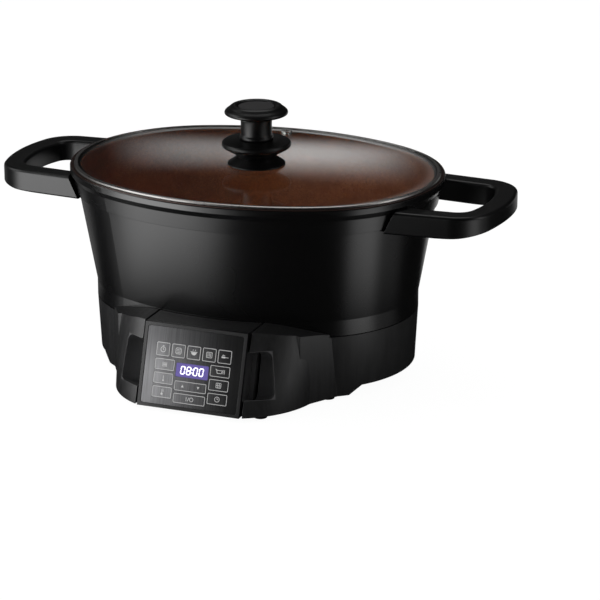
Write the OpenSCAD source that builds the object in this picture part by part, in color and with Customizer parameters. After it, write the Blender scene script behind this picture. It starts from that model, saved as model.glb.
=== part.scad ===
// Countertop multicooker: an oval cooking pot with a glass lid on a heated base,
// and a control unit that pulls out of the front of the base.
// Millimetres, +Z up, the front faces -Y. The origin is on the table, under the middle of the outline.

/* [Pot] */
// Width of the pot over its lip
pot_w = 350; // [340:1:362]
// Depth of the pot over its lip
pot_d = 271.6; // [268:0.1:284]
// Height of the pot from its underside to its lip
pot_h = 132; // [120:1:150]
// Thickness of the pot's wall
pot_wall = 4; // [3:0.5:5]
// Thickness of the pot's floor
pot_floor = 6; // [5:0.5:9]
// How far the wall leans in between the undercut and the heel
wall_lean = 15; // [10:1:18]
// Height of the heel's upper edge above the pot's underside
heel_h = 22.5; // [18:0.5:26]
// Height of the part of the heel that nests in the base
nest_h = 8; // [7.5:0.5:10]
// Width of the step under the heel
nest_in = 4; // [3.5:0.5:6]
// Radius of the corner between the inner wall and the floor
cavity_r = 12; // [8:1:15]
// Thickness of the coloured non-stick coating
coating_t = 0.5; // [0.3:0.1:0.8]

/* [Lip] */
// Height of the upright band under the lip
band_h = 11; // [9:0.5:13]
// How far the upright band leans in towards its lower edge
band_lean = 3; // [1:0.5:4]
// Height of the dark undercut below the band
undercut_h = 14; // [10:0.5:18]
// How far the undercut slants in
undercut_in = 3; // [2:0.5:5]
// Width of the step between the undercut and the wall
body_step = 2; // [1:0.5:3]
// Width of the lip outside the lid
lip_w = 3.2; // [2.6:0.2:4]
// Depth of the ledge that carries the lid
ledge_drop = 3.4; // [3:0.1:3.8]
// Distance from the outside of the lip to the cooking space
ledge_reach = 10.5; // [10:0.5:11.5]

/* [Handles] */
// Width over both handles
handle_span = 485; // [478:1:500]
// Width of the handle's bar
handle_bar = 20; // [18:0.5:22]
// Height of the handle at the pot
handle_h = 20.5; // [19:0.5:23]
// How much the underside rises towards the outer end
handle_rise = 6.5; // [0.5:0.5:9]
// Depth of the handle's top below the lip
handle_drop = 8; // [7:0.5:10]
// Radius of the handle's corners, along the middle of the bar
handle_corner_r = 25; // [20:1:26]
// Radius of the bowed outer end, along the middle of the bar
handle_bow_r = 134; // [130:1:145]
// Radius of the handle's upper edges
handle_edge_r = 3; // [1.5:0.5:4]

/* [Lid] */
// Thickness of the glass
glass_t = 3.4; // [3:0.2:4]
// How much higher the middle of the glass lies than its edge
glass_rise = 1.6; // [1:0.1:4]
// Distance from the lip at which the glass has risen
glass_shoulder = 70; // [50:1:90]
// Thickness of the steel around the glass
ring_t = 0.8; // [0.6:0.1:1]
// Width of the steel ring seen from above
ring_w = 3.6; // [3:0.2:4.4]
// Distance of the steam vent from the middle, to the left
vent_left = 17; // [0:1:40]
// Distance of the steam vent inside the lip
vent_in = 19; // [17:1:30]
// Radius of the vent's eyelet
vent_r = 5.5; // [4.5:0.5:7]

/* [Knob] */
// Height of the knob above the glass
knob_h = 55.4; // [50:0.1:60]
// Radius of the grip
grip_r = 29; // [26:0.5:32]
// Radius of the stem
stem_r = 14.2; // [12:0.2:15]
// Radius of the finger guard
guard_r = 31.7; // [29:0.1:34]
// Radius of the seat on the glass
seat_r = 26.3; // [24:0.1:28]
// Radius of the neck between the seat and the guard
neck_r = 17.7; // [16:0.1:19]
// Height of the seat
seat_h = 7.2; // [6:0.2:8]
// Height of the guard
guard_h = 14.4; // [12:0.2:16]
// Radius of the grey disc in the top of the grip
insert_r = 16.3; // [14:0.1:18]

/* [Base] */
// Height of the heating plate's top above the table
plate_top = 54; // [50:1:60]
// Gap under the base, taken up by the feet
foot_h = 4; // [3:0.5:5]
// Wall thickness of the base and of the control unit
base_wall = 3; // [2:0.2:3.4]
// How far the base's wall draws in towards the table
base_draft = 3; // [1:0.5:4]
// Height of the raised lower edge at both ends
grip_lift = 8; // [5:0.5:12]
// Half width of the part of the base that reaches down
plinth_half = 118; // [112:1:122]
// Run of the slope up to the raised ends
plinth_run = 9; // [6:1:14]
// Radius of the block's front corners
corner_r = 70; // [66:1:74]
// Lean of the front corners towards the back
corner_lean = 21.5; // [19:0.5:23]
// Splay of the front corners towards the sides
corner_splay = 6.5; // [3:0.5:8]
// Radius of the feet
foot_r = 6; // [5:0.5:7]

/* [Finger recesses] */
// Radius of the scooped recess beside the control unit
scoop_r = 26; // [22:1:27]
// Height of the recess
scoop_h = 42; // [34:1:46]
// Height of the recess's middle above the base's lower edge
scoop_mid = 35; // [32:1:37]
// Slant of the recess's outer edge
scoop_slant = 10; // [4:1:12]
// Radius of the recess's corners
scoop_corner = 6; // [3:0.5:8]

/* [Control unit] */
// Distance from the pot's axis to the foot of the panel
panel_front = 163.2; // [160:0.1:170]
// Width of the control panel
panel_w = 98; // [94:1:101]
// Length of the control panel along its slope
panel_len = 75; // [73:0.5:77]
// Lean of the control panel
panel_lean = 17.7; // [15:0.1:19]
// Gap between the control unit and the base
bay_gap = 2.2; // [1.5:0.1:3]
// Thickness of the panel's frame
frame_t = 4; // [3.6:0.1:5]
// Width of the panel's border
border_w = 3; // [2.4:0.2:3.6]

/* [Keys] */
// Width of the whole group of keys
grid_w = 72.4; // [68:0.2:76]
// Gap between two keys side by side
key_gap = 1.4; // [1.2:0.1:2]
// Gap between two keys one above the other
row_gap = 1.9; // [1.6:0.1:2.2]
// Number of keys in the top row
top_keys = 5; // [4:1:6]
// Height of the keys in the top row
top_key_h = 12.5; // [10:0.5:13]
// Width of the keys at both sides
side_key_w = 19.3; // [16:0.1:20]
// Height of the group of side keys
side_group_h = 35; // [30:0.1:35.5]
// Height of the display
display_h = 12.5; // [10:0.1:12.8]
// Bare strip under the display
display_gap = 3.2; // [2.2:0.1:3.6]
// Height of the keys under the display
low_key_h = 9.1; // [8:0.1:9.4]
// Distance from the panel's foot to the keys under the display
mid_foot = 6.2; // [6:0.1:7]
// Distance from the panel's foot to the keys at both sides
grid_foot = 9; // [8:0.5:10.5]
// Travel of a key
key_travel = 0.5; // [0.3:0.1:0.7]
// Gap between a key and the film around it
key_slit = 0.3; // [0.2:0.05:0.4]

/* [Heater] */
// Thickness of the heating plate
plate_t = 9; // [7:0.5:12]
// Distance from the lip to the edge of the heating plate
plate_inset = 44; // [42:1:60]
// Distance from the lip to the middle of the heating element
element_inset = 72; // [66:1:84]
// Radius of the heating element's tube
element_r = 3.6; // [3:0.1:4]
// Radius of the temperature sensor's cap
sensor_r = 9; // [7:0.5:11]
// Travel of the temperature sensor
sensor_travel = 1.5; // [1:0.1:2.5]
// Thickness of the reflector pan's sheet
pan_t = 1; // [0.8:0.1:1.2]
// Height of the reflector pan's floor above the base's lower edge
pan_lift = 20; // [18:1:24]

/* [Fits] */
// Gap between pieces that lift apart
seat_gap = 0.2; // [0.1:0.05:0.3]
// Gap around the lid in the lip
lid_gap = 0.6; // [0.4:0.1:0.8]
// Gap between the pot's heel and the base around it
heel_gap = 0.7; // [0.5:0.1:1]
// Gap between fixed pieces
fit_gap = 0.15; // [0.1:0.05:0.3]

/* [Hidden] */
$fn = 64;

// Colours
pot_black = [0.10, 0.10, 0.11];
copper = [0.45, 0.20, 0.10];
plastic_black = [0.06, 0.06, 0.065];
base_black = [0.08, 0.08, 0.085];
steel = [0.72, 0.72, 0.72];
film_grey = [0.30, 0.30, 0.32];
key_grey = [0.33, 0.33, 0.35];
board_green = [0.10, 0.32, 0.18];
rubber_black = [0.05, 0.05, 0.05];

// Overrun of the cuts, and overlap of pieces that are fused
over = 1;
lap = 3;

// Oval outline: two end arcs and two side arcs. Each pair of centres lies on the line through
// the place where their arcs meet, and the legs of the triangle between the centres are whole
// numbers of one unit, so that the arcs meet exactly. The unit is kept on a fine step, which
// moves the pot's depth by a quarter of a millimetre at most.
leg_x = 36;
leg_y = 77;
leg_far = 85;
leg_step = 0.01;
leg_unit = round((pot_w - pot_d) / 2 / (leg_x + leg_y - leg_far) / leg_step) * leg_step;
end_x = leg_x * leg_unit;
side_y = leg_y * leg_unit;
pot_end_r = pot_w / 2 - end_x;
side_r = pot_end_r + leg_far * leg_unit;
join_run = ceil(pot_w / 2 / side_y);
join_far = [(1 + join_run) * end_x, -join_run * side_y];
axis_y = (panel_front - pot_d / 2) / 2;

// Heights above the table
base_z = foot_h;
pot_z = plate_top;
seam_z = pot_z + nest_h;
rim_z = pot_z + pot_h;
band_z = rim_z - band_h;
under_z = band_z - undercut_h;
heel_z = pot_z + heel_h;
ledge_z = rim_z - ledge_drop;
base_top = seam_z - heel_gap;
shelf_z = base_z + panel_len * cos(panel_lean);

// Insets from the outside of the lip
body_in = band_lean + undercut_in + body_step;
heel_in = body_in + wall_lean;
nest_inset = heel_in + nest_in;
cavity_in = body_in + pot_wall;
heel_cavity_in = heel_in + pot_wall;
base_in = heel_in + base_wall;

// Rounds drawn as short chords, on a grid fine enough to leave no step where two arcs meet
round_steps = 6;
grain = 0.001;
function on_grid(points) = [for (p = points) [round(p.x / grain) * grain, round(p.y / grain) * grain]];
function quarter(centre, r, from) = on_grid([for (i = [0:round_steps])
    centre + r * [cos(from + 90 * i / round_steps), sin(from + 90 * i / round_steps)]]);

// Places what an end and a side of the oval are made of: an end section is turned about the
// centre of its arc and kept between the two joins, and so is a side section.
module end_part(low, high) intersection() {
    translate([end_x, 0, 0]) rotate([0, 0, 180]) rotate_extrude() children();
    translate([0, 0, low]) linear_extrude(high - low)
        polygon([[end_x, 0], join_far, [join_far.x - join_far.y, join_far.y],
            [join_far.x - join_far.y, -join_far.y], [join_far.x, -join_far.y]]);
}

module side_part(low, high) intersection() {
    translate([0, side_y, 0]) rotate_extrude() children();
    translate([0, 0, low]) linear_extrude(high - low)
        polygon([[end_x, 0], join_far, [-join_far.x, join_far.y], [-end_x, 0],
            [lap - end_x, lap], [end_x - lap, lap]]);
}

// Solid oval, from wall points [inset, height] listed from the bottom up
module oval_solid(wall) {
    low = wall[0].y;
    high = wall[len(wall) - 1].y;
    points = on_grid(wall);
    for (side = [0, 180]) rotate([0, 0, side]) {
        end_part(low, high)
            polygon(concat([[0, low]], [for (p = points) [pot_end_r - p.x, p.y]], [[0, high]]));
        side_part(low, high)
            polygon(concat([[0, low]], [for (p = points) [side_r - p.x, p.y]], [[0, high]]));
    }
}

// Ring that follows the oval, from a closed section of points [inset, height]
module oval_ring(section) {
    low = min([for (p = section) p.y]);
    high = max([for (p = section) p.y]);
    points = on_grid(section);
    for (side = [0, 180]) rotate([0, 0, side]) {
        end_part(low, high) polygon([for (p = points) [pot_end_r - p.x, p.y]]);
        side_part(low, high) polygon([for (p = points) [side_r - p.x, p.y]]);
    }
}

// Straight-sided oval slab
module oval_slab(inset, low, high) oval_solid([[inset, low], [inset, high]]);

// Moves what is drawn about the pot's axis to its place in the part
module placed() translate([0, axis_y, 0]) children();

// Draws its children once as they are and once mirrored to the other end or side
module both_ends() {
    children();
    mirror([1, 0, 0]) children();
}

module bore(r, h) translate([0, 0, -over]) cylinder(r = r, h = h + 2 * over);

module tube(r, hole, h) difference() {
    cylinder(r = r, h = h);
    bore(hole, h);
}

module slab(size) translate([-size.x / 2, -size.y / 2, 0]) cube(size);

// Plate with round corners, standing on the plane in which it is drawn
module plate(size, r, t) linear_extrude(t) {
    square([size.x, size.y - 2 * r], center = true);
    square([size.x - 2 * r, size.y], center = true);
    for (x = [-1, 1], y = [-1, 1]) translate([x * (size.x / 2 - r), y * (size.y / 2 - r)]) circle(r = r);
}

// Extrudes a profile drawn in X and Z right across the part along Y
module across(reach) translate([0, reach, 0]) rotate([90, 0, 0]) linear_extrude(2 * reach) children();

// Pot
bottom_r = nest_h - over;
band_foot_share = 0.45;
band_round = 0.8;
pot_wall_points = concat(
    [for (i = [0:round_steps]) [nest_inset + bottom_r * (1 - sin(90 * i / round_steps)),
        pot_z + bottom_r * (1 - cos(90 * i / round_steps))]],
    [[nest_inset, seam_z], [heel_in, seam_z], [heel_in, heel_z], [body_in, under_z],
        [body_in - body_step, under_z], [band_lean, band_z],
        [0, band_z + band_foot_share * band_h],
        [0, rim_z - coating_t - band_round], [band_round, rim_z - coating_t]]);

// Wall of the cooking space, from the floor up, moved out by t
function cavity_points(t) = concat(
    [for (i = [0:round_steps]) [heel_cavity_in + cavity_r - (cavity_r + t) * sin(90 * i / round_steps),
        pot_z + pot_floor + cavity_r - (cavity_r + t) * cos(90 * i / round_steps)]],
    [[heel_cavity_in - t, heel_z], [cavity_in - t, under_z], [ledge_reach - t, ledge_z - t],
        [lip_w - t, ledge_z - t]]);

module pot_outside() oval_solid(pot_wall_points);

// Handles: a bowed end, two round corners and two arms, all from one bar section
handle_top = rim_z - handle_drop;
handle_z = handle_top - handle_h;
bow_x = handle_span / 2 - handle_bar / 2 - handle_bow_r;
corner_reach = handle_bow_r - handle_corner_r;
// Directions from the bow's centre to a corner and from a corner's centre to its arm, both
// with whole-number legs, so that the pieces of the bar meet exactly
bow_leg = [24, 7] / 25;
arm_leg = [237, 3116] / 3125;
corner_x = bow_x + corner_reach * bow_leg.x;
corner_y = corner_reach * bow_leg.y;
arm_x = corner_x + handle_corner_r * arm_leg.x;
arm_y = corner_y + handle_corner_r * arm_leg.y;
arm_a = atan2(arm_leg.y, arm_leg.x);
root_slant = 10;
root_out = 17;
root_top = pot_w / 2 - root_out;
arm_spare = 9;
arm_len = arm_x - root_top + root_slant + arm_spare;
rise_run = 52.5;
rise_start = handle_span / 2 - rise_run;
under_edge = 1.5;

// Section of the bar at a distance from the axis that it turns about
function bar_points(r) = [for (p = concat(
    [[under_edge, 0], [handle_bar - under_edge, 0], [handle_bar, under_edge]],
    quarter([handle_bar - handle_edge_r, handle_h - handle_edge_r], handle_edge_r, 0),
    quarter([handle_edge_r, handle_h - handle_edge_r], handle_edge_r, 90),
    [[0, under_edge]])) p + [r - handle_bar / 2, handle_z]];

// Bar turned about a centre and kept inside an outline
module turned_bar(at, r, outline) intersection() {
    translate(at) rotate([0, 0, 180]) rotate_extrude() polygon(bar_points(r));
    translate([0, 0, handle_z]) linear_extrude(handle_h) polygon(outline);
}

// Frame on an arm's middle line, at a distance from the corner towards the pot
module on_arm(along) translate([arm_x, arm_y, 0]) rotate([0, 0, arm_a]) translate([0, along, 0])
    children();

module both_arms() {
    children();
    mirror([0, 1, 0]) children();
}

// Lugs cast on the pot inside the arms, and the screws that hold the handles to them
lug_w = 9;
lug_under = 4;
lug_over = 6.5;
lug_z = handle_z + lug_under;
lug_top = handle_top - lug_over;
lug_from = 25;
lug_len = 36;
lug_screw_in = 12;
lug_screw_at = lug_from + lug_screw_in;
screw_r = 2;
screw_head_r = 3.6;
screw_head_h = 2;
screw_gap = 0.1;
pocket_gap = 0.3;

module lug(grow) on_arm(lug_from - grow)
    translate([-lug_w / 2 - grow, 0, lug_z - grow])
        cube([lug_w + 2 * grow, lug_len, lug_top - lug_z + 2 * grow]);

module handle() difference() {
    union() {
        turned_bar([bow_x, 0], handle_bow_r, [[bow_x, 0],
            [bow_x, 0] + 2 * handle_bow_r * [bow_leg.x, -bow_leg.y],
            [bow_x, 0] + 2 * handle_bow_r * bow_leg]);
        both_arms() {
            turned_bar([corner_x, corner_y], handle_corner_r, [[corner_x, corner_y],
                [corner_x, corner_y] + 2 * handle_corner_r * bow_leg,
                [corner_x, corner_y] + 2 * handle_corner_r * (bow_leg + arm_leg),
                [corner_x, corner_y] + 2 * handle_corner_r * arm_leg]);
            on_arm(arm_len) rotate([90, 0, 0]) linear_extrude(arm_len) polygon(bar_points(0));
        }
    }
    // slanted root ends
    across(pot_d) polygon([[0, handle_z - over], [root_top - root_slant, handle_z - over],
        [root_top - root_slant, handle_z], [root_top, handle_top], [root_top, handle_top + over],
        [0, handle_top + over]]);
    // underside that rises towards the outer end
    rise_r = (rise_run^2 + handle_rise^2) / (2 * handle_rise);
    difference() {
        translate([rise_start, -pot_d / 2, handle_z - over])
            cube([rise_run + over, pot_d, handle_rise + over]);
        translate([rise_start, pot_d, handle_z + rise_r]) rotate([90, 0, 0])
            cylinder(r = rise_r, h = 2 * pot_d, $fn = 180);
    }
    pot_outside();
    both_arms() {
        lug(pocket_gap);
        on_arm(lug_screw_at) translate([0, 0, handle_z]) {
            bore(screw_r + screw_gap, lug_z - handle_z);
            translate([0, 0, -over])
                cylinder(r = screw_head_r + pocket_gap, h = screw_head_h + pocket_gap + over);
        }
    }
}

module pot_body() color(pot_black) placed() difference() {
    union() {
        pot_outside();
        both_ends() both_arms() lug(0);
    }
    oval_solid(concat(cavity_points(coating_t), [[lip_w - coating_t, rim_z + over]]));
    both_ends() both_arms() on_arm(lug_screw_at) translate([0, 0, lug_z])
        translate([0, 0, -over]) cylinder(r = screw_r + screw_gap, h = lug_top - lug_z);
}

module pot_coating() color(copper) placed() difference() {
    oval_solid(concat(cavity_points(coating_t),
        [[lip_w - coating_t, rim_z - coating_t], [band_round, rim_z - coating_t], [band_round, rim_z]]));
    oval_solid(concat(cavity_points(0), [[lip_w, rim_z + over]]));
}

module handle_left() color(plastic_black) placed() mirror([1, 0, 0]) handle();

module handle_right() color(plastic_black) placed() handle();

module handle_screws() color(steel) placed() both_ends() both_arms() on_arm(lug_screw_at)
    translate([0, 0, handle_z + pocket_gap]) {
        cylinder(r = screw_head_r, h = screw_head_h);
        cylinder(r = screw_r, h = lug_top - over - handle_z - 2 * pocket_gap);
    }

// Lid: glass held in a steel ring that rests on the pot's ledge
ring_in = lip_w + lid_gap;
ring_z = ledge_z + seat_gap;
ring_foot_w = 5.8;
glass_z = ring_z + ring_t;
glass_edge = glass_z + glass_t;
ring_top = glass_edge + fit_gap + ring_t;
glass_in = ring_in + ring_t + fit_gap;
glass_flat = 10;
glass_mid = glass_edge + glass_rise;
vent_y = pot_d / 2 - vent_in;
vent_hole_r = 0.6 * vent_r;
eyelet_t = 0.7;
dome_steps = 7;
function glass_lift(inset) = glass_rise * (1 - (1 - (inset - glass_flat) / (glass_shoulder - glass_flat))^2);
function dome(z) = [for (i = [0:dome_steps])
    let (inset = glass_flat + (glass_shoulder - glass_flat) * i / dome_steps) [inset, z + glass_lift(inset)]];
knob_screw_r = 2.5;
glass_hole_r = knob_screw_r + 2 * fit_gap;

module lid_glass() color([0.75, 0.80, 0.80, 0.35]) placed() difference() {
    oval_solid(concat([[glass_in, glass_z], [glass_in, glass_edge]], dome(glass_edge)));
    oval_solid(concat([[glass_flat, glass_z - over]], dome(glass_z)));
    translate([0, 0, glass_z]) bore(glass_hole_r, glass_rise + glass_t);
    translate([-vent_left, vent_y, glass_z]) bore(vent_hole_r + fit_gap, glass_rise + glass_t);
}

module lid_ring() color(steel) placed() oval_ring([
    [ring_in, ring_z], [ring_in + ring_foot_w, ring_z], [ring_in + ring_foot_w, glass_z],
    [ring_in + ring_t, glass_z], [ring_in + ring_t, ring_top - ring_t],
    [ring_in + ring_w, ring_top - ring_t], [ring_in + ring_w, ring_top - ring_t / 2],
    [ring_in + ring_w - ring_t / 2, ring_top], [ring_in + 2 * ring_t, ring_top],
    [ring_in + ring_t / 2, ring_top - ring_t / 2], [ring_in, ring_top - 2 * ring_t]]);

module vent_eyelet() color(steel) placed() translate([-vent_left, vent_y, glass_z + glass_lift(vent_in)]) {
    flange_gap = 3 * fit_gap;
    flange_z = glass_t + flange_gap;
    difference() {
        union() {
            translate([0, 0, flange_z]) cylinder(r = vent_r, h = eyelet_t);
            translate([0, 0, -eyelet_t - flange_gap]) cylinder(r = vent_r, h = eyelet_t);
            translate([0, 0, -flange_gap]) cylinder(r = vent_hole_r, h = flange_z + flange_gap);
        }
        translate([0, 0, -eyelet_t - flange_gap])
            bore(vent_hole_r - eyelet_t, flange_z + flange_gap + 2 * eyelet_t);
    }
}

// Knob: seat, finger guard and grip stand on one another over the middle of the glass
guard_dish_share = 0.833;
guard_z = glass_mid + seat_h;
grip_z = guard_z + guard_dish_share * guard_h;
grip_h = glass_mid + knob_h - grip_z;
insert_t = 1.5;
insert_drop = 2.9;
bolt_bore_r = knob_screw_r + screw_gap;

module knob_seat() color(plastic_black) placed() translate([0, 0, glass_mid]) difference() {
    rotate_extrude() polygon([[0, 0], [seat_r, 0], [seat_r, 0.17 * seat_h], [1.06 * neck_r, 0.9 * seat_h],
        [neck_r, seat_h], [0, seat_h]]);
    bore(bolt_bore_r, seat_h);
}

// Sections of the guard and of the grip, as shares of their radius and height
guard_shares = [[0, 0], [0.558, 0], [0.558, 0.1], [0.93, 0.58], [0.985, 0.66], [1, 0.75], [1, 0.88],
    [0.985, 0.95], [0.955, 1], [0.915, 1], [0.87, 0.93], [0.6, 0.855], [0.5, guard_dish_share], [0, guard_dish_share]];
stem_foot = 1.2;
cap_h = 8.2;
cap_shares = [[0.52, -0.16], [0.56, -0.04], [0.66, 0], [0.82, 0.04], [0.95, 0.2], [0.99, 0.28], [1, 0.38],
    [0.985, 0.52], [0.94, 0.68], [0.87, 0.84], [0.79, 0.95], [0.71, 1], [0.65, 0.97], [0.605, 0.88]];

module knob_guard() color(plastic_black) placed() translate([0, 0, guard_z]) difference() {
    rotate_extrude() polygon([for (s = guard_shares) [s.x * guard_r, s.y * guard_h]]);
    bore(bolt_bore_r, guard_h);
}

module knob_grip() color(plastic_black) placed() translate([0, 0, grip_z]) difference() {
    cap_z = grip_h - cap_h;
    rotate_extrude() polygon(concat(
        [[0, 0], [stem_r + stem_foot, 0], [stem_r + stem_foot, 2 * stem_foot], [stem_r, 2.5 * stem_foot],
            [stem_r, cap_z - 3 * stem_foot]],
        [for (s = cap_shares) [s.x * grip_r, cap_z + s.y * cap_h]],
        [[insert_r + fit_gap, grip_h - insert_drop], [0, grip_h - insert_drop]]));
    translate([0, 0, -over]) cylinder(r = bolt_bore_r, h = grip_h / 2 + over);
}

module knob_insert() color([0.35, 0.35, 0.36]) placed()
    translate([0, 0, grip_z + grip_h - insert_drop]) cylinder(r = insert_r, h = insert_t);

gasket_r = 12;
gasket_t = 1.2;
bolt_head_r = 6;
bolt_head_h = 2.6;
under_glass = glass_z + glass_rise;

module knob_gasket() color(rubber_black) placed() translate([0, 0, under_glass - gasket_t])
    tube(gasket_r, bolt_bore_r, gasket_t);

module knob_screw() color(steel) placed() translate([0, 0, under_glass - gasket_t]) {
    translate([0, 0, -bolt_head_h]) cylinder(r = bolt_head_r, h = bolt_head_h);
    cylinder(r = knob_screw_r, h = grip_z + grip_h / 2 - over - under_glass + gasket_t);
}

// Base: an oval wall with a block at the front that holds the control unit
bay_half = panel_w / 2 + bay_gap;
block_corner_x = bay_half - 0.38 * corner_r;
block_corner_y = panel_front - corner_r;
flank_out = 36.8;
flank_back = 48;
flank_a = 50;
flank_bury = 5;
shelf_rest = 5;
shelf_flat = bay_half + shelf_rest;
shelf_run = 56;
shelf_end = shelf_flat + shelf_run;
shelf_fall_shares = [[0, 0], [0.12, 0.05], [0.25, 0.155], [0.57, 0.43], [0.79, 0.66], [1, 1]];

// Outer wall of the base, moved in by t
function base_points(t) = [[heel_in + base_draft + t, base_z - over], [heel_in + t, base_top]];

// Inset of that wall at a height
function base_inset(z) = heel_in + base_draft * (base_top - z) / (base_top - base_z + over);

// Block at the front, moved in by t, from a height upwards
module block(t, low) {
    shelf = shelf_z - t;
    fall = shelf - base_top + t;
    intersection() {
        both_ends() {
            translate([block_corner_x, -block_corner_y, base_z]) rotate([-corner_lean, corner_splay, 0])
                translate([0, 0, -corner_r]) cylinder(r = corner_r - t, h = 3 * corner_r, $fn = 128);
            translate([0, 0, low]) linear_extrude(shelf_z) polygon([
                [bay_half + flank_out - t, flank_back - panel_front],
                [end_x + (pot_end_r - heel_in - flank_bury - t) * cos(flank_a),
                    -(pot_end_r - heel_in - flank_bury - t) * sin(flank_a)],
                [bay_half, -pot_d / 5], [bay_half, flank_back - panel_front + 2 * t]]);
        }
        across(panel_front + over) polygon(concat(
            [[-pot_w / 2, low], [pot_w / 2, low], [pot_w / 2, base_top - t]],
            [for (s = shelf_fall_shares) let (k = 1 - s.x)
                [shelf_flat + k * (shelf_end - shelf_flat), shelf - shelf_fall(k) * fall]],
            [for (s = shelf_fall_shares)
                [-shelf_flat - s.x * (shelf_end - shelf_flat), shelf - s.y * fall]],
            [[-pot_w / 2, base_top - t]]));
        translate([-pot_w / 2, -panel_front - over, low]) cube([pot_w, panel_front + over, shelf_z]);
    }
}

// Share of the shelf's fall at a share of its run
function shelf_fall(k) = lookup(k, shelf_fall_shares);

// Frame of the control panel: x across, y up the slope, z out of its face
module panel() translate([0, -panel_front, base_z]) rotate([90 - panel_lean, 0, 0]) children();

// Scooped finger recess at the right of the control unit
scoop_in = 4;
scoop_x = bay_half - scoop_in;
scoop_deep = 7;

module scoop(grow) panel() translate([scoop_x, scoop_mid / cos(panel_lean), -scoop_deep])
    rotate([0, 0, scoop_slant]) rotate([90, 0, 0]) translate([0, 0, -scoop_h / 2 - grow])
        rotate_extrude() polygon(concat(
            [[0, 0], [scoop_r + grow - scoop_corner, 0]],
            quarter([scoop_r + grow - scoop_corner, scoop_corner], scoop_corner, 270),
            quarter([scoop_r + grow - scoop_corner, scoop_h + 2 * grow - scoop_corner], scoop_corner, 0),
            [[0, scoop_h + 2 * grow]]));

// Space for the control unit in front of the base's oval wall, widened by t
module bay(t) difference() {
    translate([-bay_half - t, -panel_front - pot_d, base_z - 2 * over])
        cube([2 * (bay_half + t), panel_front + pot_d, shelf_z + pot_d]);
    oval_solid(base_points(-t));
    oval_slab(heel_in - heel_gap - t, base_top - over, shelf_z + 2 * pot_d);
}

// What lies below the base's lower edge, which is low in the middle and raised at both ends
module below_edge() across(panel_front + over) polygon([
    [-pot_w, -base_z], [pot_w, -base_z], [pot_w, base_z + grip_lift],
    [plinth_half + plinth_run, base_z + grip_lift], [plinth_half, base_z],
    [-plinth_half, base_z], [-plinth_half - plinth_run, base_z + grip_lift],
    [-pot_w, base_z + grip_lift]]);

// Places of the bosses for the cover's screws, as angles about the centre of an end arc
boss_angles = [-70, 0, 70];
boss_r = 4.5;
boss_bore_r = 1.6;
boss_bury = 2.6;
boss_inset = base_in + base_draft + boss_r - boss_bury;

// Draws its children under each boss, at the height of the base's lower edge there
module at_bosses() both_ends() for (a = boss_angles)
    translate([end_x + (pot_end_r - boss_inset) * cos(a), (pot_end_r - boss_inset) * sin(a),
        a == 0 ? base_z + grip_lift : base_z]) children();

// Bottom cover
cover_rise = 1;
cover_t = 2.5;
cover_top = base_z + cover_rise + cover_t;
cover_gap = 0.25;

// Ledge inside the wall that carries the reflector pan
pan_drop = 6;
pan_rim_z = plate_top - pan_drop;
pan_ledge_w = 5;
pan_ledge_h = 4;

// Socket for the control unit's plug, in the front of the oval wall
socket_w = 34;
socket_h = 15;
socket_lift = 26;
socket_z = base_z + socket_lift;
socket_rim_w = 4;
socket_rim_h = 2.5;
socket_rim_t = 2;
socket_rim_gap = 1.5;
socket_depth = 9.5;
socket_face = pot_d / 2 - base_inset(socket_z) - fit_gap;
pin_pitch = 9;
pin_r = 1.6;
pin_gap = 0.3;
pin_count = 3;

// Cord gland at the back
gland_turn = 18;
gland_lift = 22;
gland_z = base_z + gland_lift;
gland_r = 8;
gland_hole_r = 3.6;
gland_in = 4;
gland_out = 2;
gland_rim_w = 2;
gland_rim_t = 3;
gland_rim_gap = 0.9;
gland_tail = 12;

// Frame on the outside of the back wall, with z pointing out of it
module at_gland() translate([0, -side_y, 0]) rotate([0, 0, -gland_turn])
    translate([0, side_r - base_inset(gland_z), gland_z]) rotate([-90, 0, 0]) children();

module base_housing() color(base_black) placed() {
    difference() {
        union() {
            oval_solid(base_points(0));
            block(0, base_z - over);
        }
        // inside of the oval
        oval_solid([[base_in + base_draft, base_z - 2 * over], [base_in, base_top - over],
            [base_in, base_top + over]]);
        // room for the pot's heel above the oval wall
        oval_slab(heel_in - heel_gap, base_top, shelf_z + over);
        // inside of the block, apart from the walls around the bay and the recesses
        difference() {
            block(base_wall, base_z - 2 * over);
            oval_solid(base_points(0));
            bay(base_wall);
            both_ends() scoop(base_wall);
        }
        // passage for the bottom cover under the oval wall
        difference() {
            block(base_wall, base_z - 2 * over);
            bay(base_wall);
            both_ends() scoop(base_wall);
            translate([-pot_w / 2, -pot_d, cover_top + fit_gap]) cube([pot_w, 2 * pot_d, pot_h]);
        }
        // seats for the heads of the cover's screws
        at_bosses() translate([0, 0, -over]) cylinder(r = screw_head_r + fit_gap, h = cover_rise + over);
        bay(0);
        both_ends() scoop(0);
        below_edge();
        // plug opening and gland hole
        translate([0, -socket_face - lap, socket_z]) rotate([-90, 0, 0])
            slab([socket_w + 2 * fit_gap, socket_h + 2 * fit_gap, base_wall + 3 * lap]);
        at_gland() translate([0, 0, -3 * base_wall]) cylinder(r = gland_r, h = 6 * base_wall);
    }
    // ledge for the pan
    oval_ring([[base_in - base_wall / 2, pan_rim_z - pan_ledge_h - pan_ledge_w],
        [base_in + pan_ledge_w, pan_rim_z - pan_ledge_h], [base_in + pan_ledge_w, pan_rim_z],
        [base_in - base_wall / 2, pan_rim_z]]);
    at_bosses() translate([0, 0, cover_rise + cover_t + fit_gap])
        tube(boss_r, boss_bore_r, pan_rim_z - grip_lift - cover_top - 2 * over);
}

// Bottom cover: low over the block and the middle, raised at both ends like the base's wall
vent_slots = 9;
slot_pitch = 9;
slot_w = 3;
slot_len = 46;

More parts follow.
